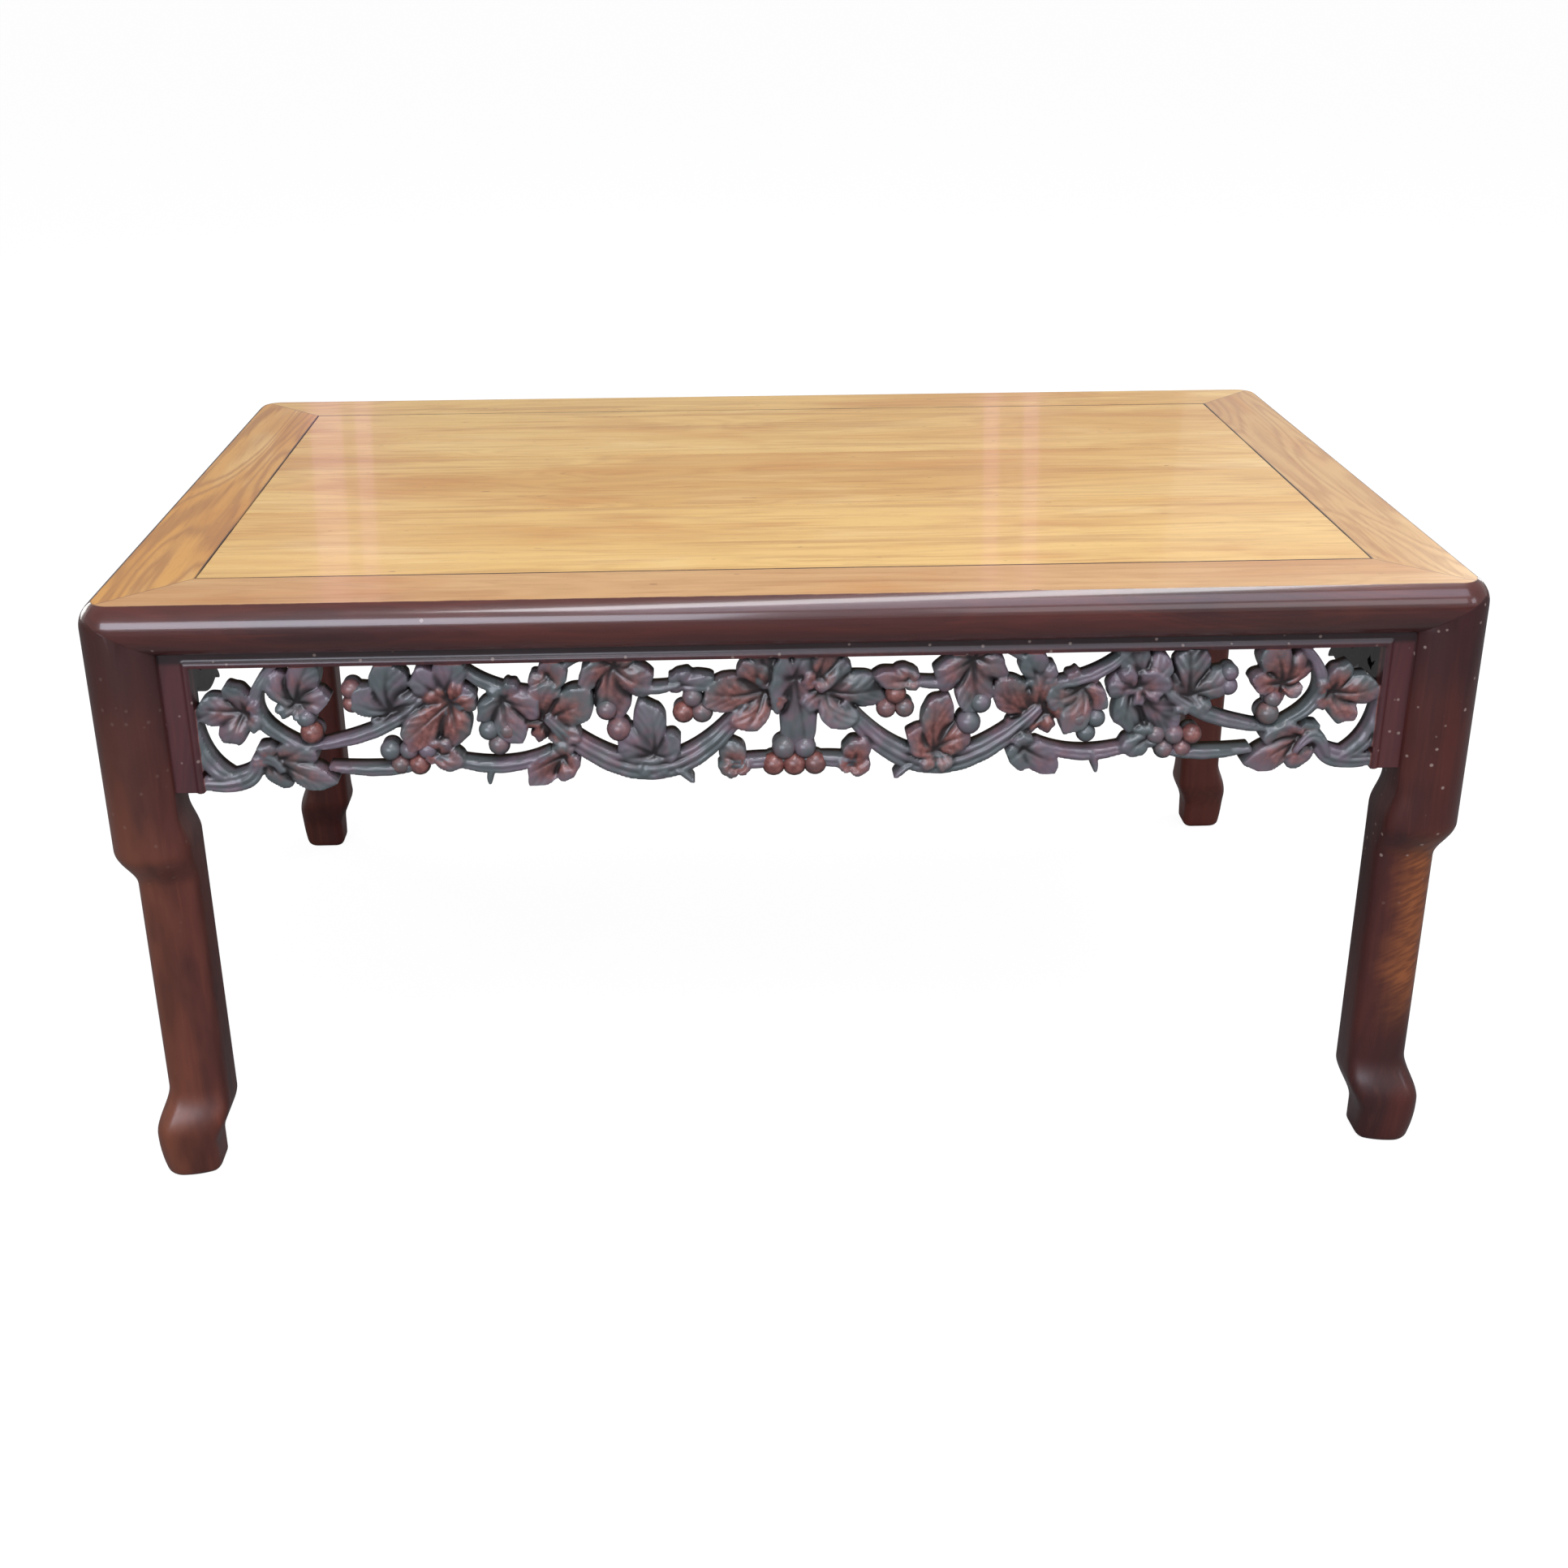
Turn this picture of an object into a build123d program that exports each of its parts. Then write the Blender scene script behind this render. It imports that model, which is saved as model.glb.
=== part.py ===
from build123d import *
import os
from math import cos, radians, sin, sqrt

# Low altar table in dark hardwood, in millimetres, Z up, X along the length.
# The origin is on the floor under the middle of the top.
# A corner is worked out once at the front left, in "corner places": a runs in from the left face,
# b runs in from the front face, and depths t run down from the top surface.

# Driving dimensions
LENGTH = 960.0
WIDTH = 628.0
HEIGHT = 450.0

# Top frame
RAIL_MARGIN = 17.5  # how far the rails reach in past the legs
RAIL_THICK = 35.0
EDGE_BULGE = 10.0  # how far the rounded edge stands out past the flat top
CORNER_RADIUS = 25.0  # plan radius of the outermost corner
FRAME_TENON_REACH = 36.0
FRAME_TENON_DROP = 14.0
FRAME_TENON_FLOOR = 4.0  # height left between the tenon and the aprons' tongues
FRAME_TENON_OUTER = 2.0  # wood left between the tenon and the head of the leg
FRAME_TENON_INNER = 5.5  # wood left between the tenon and the inner edge of the rail

# Floating panel
BOARD_COUNT = 3
BOARD_THICK = 14.0
PANEL_GAP = 0.6  # open line all round the panel and between the boards
PANEL_TONGUE_REACH = 7.5
PANEL_TONGUE_THICK = 6.0
PANEL_TONGUE_DROP = 4.0
BOARD_TONGUE_REACH = 6.0

# Battens under the panel
BATTEN_COUNT = 3
BATTEN_WIDE = 32.0
BATTEN_HIGH = 18.0
DOVETAIL_NECK = 18.0
DOVETAIL_HEAD = 23.0
DOVETAIL_HIGH = 4.0
BATTEN_TENON_WIDE = 18.0
BATTEN_TENON_THICK = 10.0
BATTEN_TENON_REACH = 22.0

# Legs: insets of the outer and inner faces from the table's outer planes, from the top down
LEG_TOP = 51.0
SHANK_SIZE = 43.0
SHANK_INSET = 13.0
FOOT_SIZE = 43.0
FOOT_INSET = 2.5
KNEE_LONG = 28.0  # height over which each side of the leg steps in
KNEE_INNER_DROP = 13.5  # from the bottom of the aprons to the inner side's step
KNEE_OUTER_DROP = 43.5
ANKLE_TOP = 84.0
ANKLE_END = 37.0
BEND_STEP = 10.0  # height of each ruled strip through a bend
LEG_BOW = 10.0  # fall of the convex outer faces towards the inner edges
SHANK_BOW = 7.0
SHANK_CORNER = 13.0
INNER_CHAMFER = 5.0
FOOT_EASE = 4.0
MITRE_START = 4.0  # depth of the three-way mitre at the outer corner
LEG_TENON_LONG = 16.0
LEG_TENON_THICK = 12.0
LEG_TENON_NEAR = 12.0  # from the outer face to the tenon
LEG_TENON_FAR = 26.0
LEG_TENON_DROP = 12.0

# Carved aprons
APRON_RECESS = 12.0
APRON_THICK = 18.0
APRON_DROP = 103.5
BORDER_TOP = 11.5
BORDER_END = 20.0
VINE_THICK = 15.0  # the pierced vine lies this thick against the back of the board
TONGUE_THICK = 8.0
TONGUE_SETBACK = 5.0
TONGUE_TOP_REACH = 7.0
TONGUE_END_REACH = 8.0
TONGUE_END_STOP = 8.0  # the end tongue stops this far above the bottom of the apron

# Pins and clearance
PIN_RADIUS = 2.8
PIN_SIDES = 8  # whittled pins, eight-sided
PIN_LENGTH = 26.0
JOINT_GAP = 0.15  # working clearance round every tongue, tenon and pin
END_GAP = 0.8  # space left past the end of a tongue or tenon

HALF_L = LENGTH / 2
HALF_W = WIDTH / 2
RAIL_WIDTH = LEG_TOP + RAIL_MARGIN
RAIL_BOTTOM = HEIGHT - RAIL_THICK
APRON_BOTTOM = RAIL_BOTTOM - APRON_DROP
KNEE_INNER_TOP = APRON_BOTTOM - KNEE_INNER_DROP
KNEE_OUTER_TOP = APRON_BOTTOM - KNEE_OUTER_DROP
KNEE_INNER_END = KNEE_INNER_TOP - KNEE_LONG
KNEE_OUTER_END = KNEE_OUTER_TOP - KNEE_LONG
PANEL_L = LENGTH - 2 * RAIL_WIDTH
PANEL_W = WIDTH - 2 * RAIL_WIDTH

# Vine pattern. Heights v run up from the bottom of the apron; places x run out from the middle.
# The pattern is a middle unit, as many repeating units as the side has room for, and an end unit.
# Positions in the end unit run back from the inner edge of the end border.
PATTERN_DROP = 107.0
MIDDLE_PITCH = 142.0
REPEAT_PITCH = 150.0
END_PITCH = 116.0
LEAF_RIM = (1.07, 1.0, 0.66)  # reach of a lobe's tip, its shoulder and the notch after it
SMALL_LEAF = 30.0
LEAF_STALK = 0.45  # how far behind a leaf's middle its stalk joins, in half lengths
STEM_END = 0.55  # width of a stem's ends as a share of its middle
SLIGHT_BEND = 11.0
BERRY_SIDES = 6
BERRY_PITCH = 1.7  # between neighbouring berries, in radii
BERRY_ROW = 0.87  # between rows, in pitches

# A leaf is (x, v, along, across, turn, lobes); a stem is (start, middle, end, width);
# a bunch is (x, v, radius, how many berries in each row from the top row down).
MIDDLE_LEAVES = (
    (0, 60, 76, 34, 270, 3),
    (33, 66, 54, 46, 350, 5),
    (21, 87, 38, 24, 60, 3),
    (43, 17, 26, 24, 60, 3),
    (72, 77, 30, 18, 170, 3),
    (101, 33, 52, 40, 80, 5),
    (122, 78, 50, 46, 265, 5),
    (163, 56, 50, 46, 140, 5),
    (167, 15, 38, 28, 320, 3),
)
MIDDLE_STEMS = (
    ((35, 56), (98, 11), (168, 50), 17),
    ((112, 75), (98, 72), (80, 75), 7),
    ((46, 14), (28, 14), (8, 16), 9),
    ((82, 10), (76, 6), (71, 1), 5),
)
MIDDLE_BUNCHES = (
    (70, 65, 7.5, (1, 2)),
    (129, 57, 8.0, (1,)),
    (121, 42, 9.0, (1,)),
)
CENTRE_BUNCH = (0, 25, 8.5, (2, 3))
REPEAT_LEAVES = (
    (26, 82, 28, 26, 100, 3),
    (54, 57, 42, 40, 250, 5),
    (98, 78, 46, 40, 100, 5),
    (102, 54, 58, 44, 311, 5),
    (136, 70, 46, 46, 80, 5),
    (100, 25, 26, 22, 200, 3),
)
REPEAT_STEMS = (
    ((2, 98), (14, 92), (26, 82), 6),
    ((26, 70), (62, 75), (88, 94), 8),
    ((28, 25), (62, 15), (104, 24), 9),
    ((66, 18), (69, 10), (70, 3), 5),
    ((114, 66), (146, 44), (192, 33), 9),
    ((116, 18), (144, 14), (178, 17), 8),
)
REPEAT_BUNCHES = (
    (62, 43, 7.5, (2, 1)),
    (160, 76, 7.0, (1, 1)),
    (124, 29, 7.5, (3, 2)),
)
END_LEAVES = (
    (70, 77, 44, 40, 80, 5),
    (23, 59, 42, 40, 185, 5),
    (62, 18, 54, 34, 340, 5),
)
END_STEMS = (
    ((74, 32), (41, 60), (58, 98), 9),
    ((54, 16), (42, 26), (32, 12), 9),
    ((38, 20), (24, 8), (-6, 8), 14),
    ((-2, 56), (3, 25), (24, 8), 12),
)
END_BUNCHES = (
    (74, 55, 7.0, (1,)),
    (77, 44, 9.0, (1,)),
)


def block(low, high):
    """A box between two corners."""
    size = [h - l for l, h in zip(low, high)]
    return Pos(*low) * Box(*size, align=(Align.MIN, Align.MIN, Align.MIN))


def with_gap(low, high, gap=JOINT_GAP):
    """The box between two corners, grown by a clearance, for cutting its mortise."""
    return block([l - gap for l in low], [h + gap for h in high])


def corner_block(a, b, t, gap=0.0):
    """A box at the front left corner, from ranges of a, b and the depth t."""
    low = (a[0] - HALF_L, b[0] - HALF_W, HEIGHT - t[1])
    high = (a[1] - HALF_L, b[1] - HALF_W, HEIGHT - t[0])
    return with_gap(low, high, gap)


def both_ends(shape):
    """A shape and its mirror image across the middle of the length."""
    return shape + mirror(shape, about=Plane.YZ)


def both_sides(shape):
    """A shape and its mirror image across the middle of the width."""
    return shape + mirror(shape, about=Plane.XZ)


# Places shared by the pieces that fit one another, in corner places
FRAME_TENON_B = (LEG_TOP + FRAME_TENON_OUTER, RAIL_WIDTH - FRAME_TENON_INNER)
FRAME_TENON_T = (FRAME_TENON_DROP, RAIL_THICK - TONGUE_TOP_REACH - FRAME_TENON_FLOOR)
FRAME_TENON_TIP = FRAME_TENON_B[0] - FRAME_TENON_REACH
LEG_TENON_FAR_RANGE = (LEG_TENON_FAR, LEG_TENON_FAR + LEG_TENON_LONG)
LEG_TENON_NEAR_RANGE = (LEG_TENON_NEAR, LEG_TENON_NEAR + LEG_TENON_THICK)
LEG_TENON_T = (LEG_TENON_DROP, RAIL_THICK)
TONGUE_B = (APRON_RECESS + TONGUE_SETBACK, APRON_RECESS + TONGUE_SETBACK + TONGUE_THICK)
PIN_A = (FRAME_TENON_TIP + FRAME_TENON_B[0]) / 2
PIN_B = sum(FRAME_TENON_B) / 2
BATTEN_TENON_T = (
    BOARD_THICK + (BATTEN_HIGH - BATTEN_TENON_THICK) / 2,
    BOARD_THICK + (BATTEN_HIGH + BATTEN_TENON_THICK) / 2,
)


def mitre_peak():
    """The space under the three-way mitre at the front left corner, up from the rails' underside."""
    slope = make_face(
        Polyline((0, MITRE_START), (0, RAIL_THICK), (LEG_TOP, RAIL_THICK), close=True)
    )
    corner = (-HALF_L, -HALF_W, HEIGHT)
    # Both planes have the depth t as their y; x is a in the first and b in the second.
    in_front_face = Plane(origin=corner, x_dir=(1, 0, 0), z_dir=(0, 1, 0))
    in_side_face = Plane(origin=corner, x_dir=(0, 1, 0), z_dir=(-1, 0, 0))
    return extrude(in_front_face * slope, LEG_TOP) & extrude(in_side_face * slope, -LEG_TOP)


def top_slab():
    """The whole top frame before it is divided, with its rounded edge run round the corners."""
    core_l = LENGTH - 2 * EDGE_BULGE
    core_w = WIDTH - 2 * EDGE_BULGE
    core = RectangleRounded(core_l, core_w, CORNER_RADIUS - EDGE_BULGE)
    slab = Pos(0, 0, RAIL_BOTTOM) * extrude(core, RAIL_THICK)
    mid = HEIGHT - RAIL_THICK / 2
    path = (Pos(0, 0, mid) * core).wire()
    edge = make_face(
        [
            ThreePointArc((0, RAIL_THICK / 2), (EDGE_BULGE, 0), (0, -RAIL_THICK / 2)),
            Line((0, -RAIL_THICK / 2), (0, RAIL_THICK / 2)),
        ]
    )
    start = path @ 0
    heading = path % 0
    outward = heading.cross(Vector(0, 0, 1))
    if outward.dot(Vector(start.X, start.Y, 0)) < 0:
        outward = -outward
    across_path = Plane(origin=start, x_dir=outward, z_dir=outward.cross(Vector(0, 0, 1)))
    return slab + sweep(across_path * edge, path=path)


def panel_groove():
    """The groove round the inside of the frame that the panel's tongues float in."""
    reach = 2 * (PANEL_TONGUE_REACH + PANEL_GAP + END_GAP)
    high = HEIGHT - PANEL_TONGUE_DROP + JOINT_GAP
    low = HEIGHT - PANEL_TONGUE_DROP - PANEL_TONGUE_THICK - JOINT_GAP
    return Pos(0, 0, (low + high) / 2) * Box(PANEL_L + reach, PANEL_W + reach, high - low)


def frame_tenon(gap=0.0):
    """The long rail's tenon at the front left, from its mitre into the short rail."""
    tip = FRAME_TENON_TIP - (END_GAP if gap else 0.0)
    return corner_block((tip, FRAME_TENON_B[1]), FRAME_TENON_B, FRAME_TENON_T, gap)


def leg_tenons(gap=0.0):
    """The leg's two tenons, one up into each rail."""
    drop = (LEG_TENON_T[0] - (END_GAP if gap else 0.0), LEG_TENON_T[1])
    return corner_block(LEG_TENON_FAR_RANGE, LEG_TENON_NEAR_RANGE, drop, gap) + corner_block(
        LEG_TENON_NEAR_RANGE, LEG_TENON_FAR_RANGE, drop, gap
    )


def mitre_pin(gap=0.0):
    """The wooden pin up through the short rail and the long rail's tenon, at the front left."""
    length = PIN_LENGTH + (END_GAP if gap else 0.0)
    place = Pos(PIN_A - HALF_L, PIN_B - HALF_W, RAIL_BOTTOM)
    return place * extrude(RegularPolygon(PIN_RADIUS + gap, PIN_SIDES), length)


def top_tongue(side_length, half_depth, gap=0.0):
    """The tongue along the top of the front apron, or the groove for it in the rail."""
    half = side_length / 2 - LEG_TOP
    reach = TONGUE_TOP_REACH + (END_GAP if gap else 0.0)
    return block(
        (-half, TONGUE_B[0] - half_depth - gap, RAIL_BOTTOM),
        (half, TONGUE_B[1] - half_depth + gap, RAIL_BOTTOM + reach),
    )


def end_tongue(side_length, half_depth, gap=0.0):
    """The tongue on the left end of the front apron, or the mortise for it in the leg."""
    face = LEG_TOP - side_length / 2
    reach = TONGUE_END_REACH + (END_GAP if gap else 0.0)
    bottom = APRON_BOTTOM + TONGUE_END_STOP
    return block(
        (face - reach, TONGUE_B[0] - half_depth - gap, bottom - gap),
        (face, TONGUE_B[1] - half_depth + gap, RAIL_BOTTOM),
    )


def batten_places():
    """The middle of each batten along the length."""
    step = PANEL_L / (BATTEN_COUNT + 1)
    return [step * (i + 1) - PANEL_L / 2 for i in range(BATTEN_COUNT)]


def batten_tenon(x, gap=0.0):
    """The tenon on the front end of a batten, or the mortise for it in the front rail."""
    inner = RAIL_WIDTH - HALF_W
    reach = BATTEN_TENON_REACH + (END_GAP if gap else 0.0)
    half = BATTEN_TENON_WIDE / 2 + gap
    return block(
        (x - half, inner - reach, HEIGHT - BATTEN_TENON_T[1] - gap),
        (x + half, inner, HEIGHT - BATTEN_TENON_T[0] + gap),
    )


def long_rail(slab):
    """The front rail: mitred ends with a tenon on each, grooved for the panel and the apron."""
    outline = Polyline(
        (-HALF_L, -HALF_W),
        (HALF_L, -HALF_W),
        (HALF_L - RAIL_WIDTH, RAIL_WIDTH - HALF_W),
        (RAIL_WIDTH - HALF_L, RAIL_WIDTH - HALF_W),
        close=True,
    )
    blank = Pos(0, 0, RAIL_BOTTOM) * extrude(make_face(outline), RAIL_THICK)
    rail = (slab & blank) - panel_groove()
    rail += both_ends(frame_tenon())
    rail -= both_ends(mitre_peak())
    rail -= both_ends(leg_tenons(JOINT_GAP))
    rail -= both_ends(mitre_pin(JOINT_GAP))
    rail -= top_tongue(LENGTH, HALF_W, JOINT_GAP)
    for x in batten_places():
        rail -= batten_tenon(x, JOINT_GAP)
    return rail


def short_rail(slab):
    """The left rail: mitred ends, each with a mortise for the long rail's tenon."""
    outline = Polyline(
        (-HALF_L, -HALF_W),
        (RAIL_WIDTH - HALF_L, RAIL_WIDTH - HALF_W),
        (RAIL_WIDTH - HALF_L, HALF_W - RAIL_WIDTH),
        (-HALF_L, HALF_W),
        close=True,
    )
    blank = Pos(0, 0, RAIL_BOTTOM) * extrude(make_face(outline), RAIL_THICK)
    rail = (slab & blank) - panel_groove()
    rail -= both_sides(frame_tenon(JOINT_GAP))
    rail -= both_sides(mitre_peak())
    rail -= both_sides(leg_tenons(JOINT_GAP))
    rail -= both_sides(mitre_pin(JOINT_GAP))
    rail -= turn_to_left(top_tongue(WIDTH, HALF_L, JOINT_GAP))
    return rail


def turn_to_left(shape):
    """Turns a piece made for the front of the table to its left side."""
    return Rot(0, 0, -90) * shape


def dovetail(x, gap=0.0):
    """The dovetailed rib along the top of a batten, or the housing for it in the boards."""
    reach = HALF_W - RAIL_WIDTH + (PANEL_TONGUE_REACH if gap else 0.0)
    low = HEIGHT - BOARD_THICK
    outline = Polyline(
        (x - DOVETAIL_NECK / 2 - gap, low),
        (x + DOVETAIL_NECK / 2 + gap, low),
        (x + DOVETAIL_HEAD / 2 + gap, low + DOVETAIL_HIGH + gap),
        (x - DOVETAIL_HEAD / 2 - gap, low + DOVETAIL_HIGH + gap),
        close=True,
    )
    return extrude(Plane.XZ * make_face(outline), reach, both=True)


def board(index):
    """A panel board: flush top, tongues into the frame, tongued or grooved to its neighbours."""
    span = (PANEL_W - 2 * PANEL_GAP) / BOARD_COUNT
    front = -PANEL_W / 2 + PANEL_GAP + index * span
    back = front + span
    first, last = index == 0, index == BOARD_COUNT - 1
    seam = PANEL_GAP / 2
    half = PANEL_L / 2 - PANEL_GAP
    y0 = front + (0 if first else seam)
    y1 = back - (0 if last else seam)
    piece = block((-half, y0, HEIGHT - BOARD_THICK), (half, y1, HEIGHT))
    high = HEIGHT - PANEL_TONGUE_DROP
    low = high - PANEL_TONGUE_THICK
    # Odd boards carry a tongue on each long edge; even ones are grooved to take it.
    tongued = index % 2 == 1
    reach_0 = PANEL_TONGUE_REACH if first else (BOARD_TONGUE_REACH if tongued else 0)
    reach_1 = PANEL_TONGUE_REACH if last else (BOARD_TONGUE_REACH if tongued else 0)
    ends = half + PANEL_TONGUE_REACH
    piece += block((-ends, y0 - reach_0, low), (ends, y1 + reach_1, high))
    if not tongued:
        room = BOARD_TONGUE_REACH + END_GAP
        if not first:
            piece -= block(
                (-ends, y0, low - JOINT_GAP), (ends, y0 + room, high + JOINT_GAP)
            )
        if not last:
            piece -= block(
                (-ends, y1 - room, low - JOINT_GAP), (ends, y1, high + JOINT_GAP)
            )
    for x in batten_places():
        piece -= dovetail(x, JOINT_GAP)
    return piece


def batten(x):
    """A batten across under the boards, dovetailed into them and tenoned into the long rails."""
    half = HALF_W - RAIL_WIDTH
    top = HEIGHT - BOARD_THICK
    piece = block((x - BATTEN_WIDE / 2, -half, top - BATTEN_HIGH), (x + BATTEN_WIDE / 2, half, top))
    piece += dovetail(x)
    piece += both_sides(batten_tenon(x))
    return piece


def ease(z, start, end):
    """0 above a bend, 1 below it, with level ends."""
    u = min(max((start - z) / (start - end), 0.0), 1.0)
    return u * u * (3 - 2 * u)


def leg_section(z):
    """The leg's section at a height: round outer corner, convex outer faces, flat inner faces."""
    outer_knee = ease(z, KNEE_OUTER_TOP, KNEE_OUTER_END)
    inner_knee = ease(z, KNEE_INNER_TOP, KNEE_INNER_END)
    ankle = ease(z, ANKLE_TOP, ANKLE_END)
    shank_inner = SHANK_INSET + SHANK_SIZE
    foot_inner = FOOT_INSET + FOOT_SIZE
    s = SHANK_INSET * outer_knee + (FOOT_INSET - SHANK_INSET) * ankle
    e = LEG_TOP + (shank_inner - LEG_TOP) * inner_knee + (foot_inner - shank_inner) * ankle
    r = CORNER_RADIUS + (SHANK_CORNER - CORNER_RADIUS) * outer_knee
    bow = LEG_BOW + (SHANK_BOW - LEG_BOW) * outer_knee
    arc_middle = s + r - r * sin(radians(45))
    inner = (e, s + bow), (e, e - INNER_CHAMFER), (e - INNER_CHAMFER, e), (s + bow, e)
    face = make_face(
        [
            ThreePointArc((s, s + r), (arc_middle, arc_middle), (s + r, s)),
            TangentArc((s + r, s), inner[0], tangent=(1, 0)),
            Polyline(*inner),
            TangentArc((s, s + r), inner[-1], tangent=(0, 1)),
        ]
    )
    return Pos(-HALF_L, -HALF_W, z) * face


def bend(top, end):
    """The stretch of leg through one bend, in ruled strips between its sections."""
    strips = round((top - end) / BEND_STEP)
    levels = [end + (top - end) * i / strips for i in range(strips + 1)]
    return loft([leg_section(z) for z in levels], ruled=True)


def straight(top, end):
    """A straight stretch of leg between two heights."""
    return extrude(leg_section(end), top - end)


def leg():
    """The front left leg: mitred and tenoned head, knee, square shank and out-turned foot."""
    foot = straight(ANKLE_END, 0)
    foot = chamfer(foot.edges().group_by(Axis.Z)[0], FOOT_EASE)
    head = straight(HEIGHT, RAIL_BOTTOM) & mitre_peak()
    piece = foot + bend(ANKLE_TOP, ANKLE_END) + straight(KNEE_OUTER_END, ANKLE_TOP)
    piece += bend(KNEE_INNER_TOP, KNEE_OUTER_END) + straight(RAIL_BOTTOM, KNEE_INNER_TOP)
    piece += head
    piece += leg_tenons()
    piece -= end_tongue(LENGTH, HALF_W, JOINT_GAP)
    side_tongue = turn_to_left(end_tongue(WIDTH, HALF_L, JOINT_GAP))
    piece -= mirror(side_tongue, about=Plane.XZ)
    return piece


def leaf(x, v, along, across, turn, lobes, fit):
    """A vine leaf: lobes spread from its stalk out to an ellipse, with a notch after each."""
    c, s = cos(radians(turn)), sin(radians(turn))
    points = []
    rim = LEAF_RIM if along > SMALL_LEAF else LEAF_RIM[::2]
    count = lobes * len(rim)
    for i in range(count):
        angle = radians(360 * i / count)
        to_ellipse = LEAF_STALK * cos(angle) + sqrt(1 - (LEAF_STALK * sin(angle)) ** 2)
        reach = to_ellipse * rim[i % len(rim)]
        p = (reach * cos(angle) - LEAF_STALK) * along / 2
        q = reach * sin(angle) * across / 2
        points.append(fitted((x + p * c - q * s, v + p * s + q * c), fit))
    return make_face(Polyline(*points, close=True))


def stem(start, middle, end, width, fit):
    """A stem through three points, widest at its middle: curved, or straight-sided if it bends little."""
    start, middle, end = [fitted(point, fit) for point in (start, middle, end)]
    bend_depth = ((start + end) / 2 - middle).length
    side_line = ThreePointArc if bend_depth > SLIGHT_BEND else Polyline
    spine = side_line(start, middle, end)
    left, right = [], []
    for place, share in ((0, STEM_END), (0.5, 1.0), (1, STEM_END)):
        across = (spine % place).rotate(Axis.Z, 90) * (share * width / 2)
        left.append(spine @ place + across)
        right.append(spine @ place - across)
    ends = Line(left[-1], right[-1]), Line(right[0], left[0])
    return make_face([side_line(*left), side_line(*right), *ends])


def bunch(x, v, radius, rows, fit):
    """A bunch of grapes, row under row, the berries drawn side against side."""
    pitch = BERRY_PITCH * radius
    berries = []
    for level, count in enumerate(rows):
        for i in range(count):
            middle = (x + (i - (count - 1) / 2) * pitch, v - level * BERRY_ROW * pitch)
            rim = []
            for side in range(BERRY_SIDES):
                angle = radians(360 * side / BERRY_SIDES)
                point = (middle[0] + radius * sin(angle), middle[1] + radius * cos(angle))
                rim.append(fitted(point, fit))
            berries.append(make_face(Polyline(*rim, close=True)))
    return berries


def fitted(point, fit):
    """A point of the pattern, stretched to the apron's length and depth."""
    return Vector(point[0] * fit[0], point[1] * fit[1])


def leaf_in_unit(item, origin, way):
    """A leaf of a unit that starts at an origin and runs out (way 1) or back (way -1)."""
    x, v, along, across, turn, lobes = item
    return origin + way * x, v, along, across, (turn if way > 0 else 180 - turn), lobes


def stem_in_unit(item, origin, way):
    """A stem of a unit, placed in the same way."""
    *points, width = item
    return *[(origin + way * x, v) for x, v in points], width


def bunch_in_unit(item, origin, way):
    """A bunch of a unit, placed in the same way."""
    x, v, radius, rows = item
    return origin + way * x, v, radius, rows


def vine_layout(span):
    """The leaves, stems and bunches of half an apron, and the stretch that fits them to it."""
    spare = (span - MIDDLE_PITCH - END_PITCH) / REPEAT_PITCH
    repeats = max(0, round(spare))
    drawn = MIDDLE_PITCH + repeats * REPEAT_PITCH + END_PITCH
    units = [(MIDDLE_LEAVES, MIDDLE_STEMS, MIDDLE_BUNCHES, 0, 1)]
    for i in range(repeats):
        origin = MIDDLE_PITCH + i * REPEAT_PITCH
        units.append((REPEAT_LEAVES, REPEAT_STEMS, REPEAT_BUNCHES, origin, 1))
    units.append((END_LEAVES, END_STEMS, END_BUNCHES, drawn, -1))
    leaves, stems, bunches = [], [], [CENTRE_BUNCH]
    for unit_leaves, unit_stems, unit_bunches, origin, way in units:
        leaves += [leaf_in_unit(item, origin, way) for item in unit_leaves]
        stems += [stem_in_unit(item, origin, way) for item in unit_stems]
        bunches += [bunch_in_unit(item, origin, way) for item in unit_bunches]
    return leaves, stems, bunches, span / drawn


def apron(side_length, half_depth):
    """The front apron of a side: border and pierced vine in one board, tongued on three edges."""
    half = side_length / 2 - LEG_TOP
    span = half - BORDER_END
    leaves, stems, bunches, stretch = vine_layout(span)
    fit = (stretch, APRON_DROP / PATTERN_DROP)
    vine = [leaf(*item, fit) for item in leaves]
    vine += [stem(*item, fit) for item in stems]
    vine += [berry for item in bunches for berry in bunch(*item, fit)]
    rail_border = Pos(half / 2, APRON_DROP - BORDER_TOP / 2) * Rectangle(half, BORDER_TOP)
    end_border = Pos(half - BORDER_END / 2, APRON_DROP / 2) * Rectangle(BORDER_END, APRON_DROP)
    back = APRON_RECESS + APRON_THICK - half_depth
    face = Plane(origin=(0, back, APRON_BOTTOM), x_dir=(1, 0, 0), z_dir=(0, -1, 0))
    piece = extrude(face * (Sketch() + vine), VINE_THICK)
    piece += extrude(face * (rail_border + end_border), APRON_THICK)
    piece = both_ends(piece)
    piece += top_tongue(side_length, half_depth)
    piece += both_ends(end_tongue(side_length, half_depth))
    return piece


def corners(name, shape):
    """The four corner pieces made from the front left one."""
    right = mirror(shape, about=Plane.YZ)
    return {
        f"{name}_front_left": shape,
        f"{name}_front_right": right,
        f"{name}_back_left": mirror(shape, about=Plane.XZ),
        f"{name}_back_right": mirror(right, about=Plane.XZ),
    }


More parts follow.
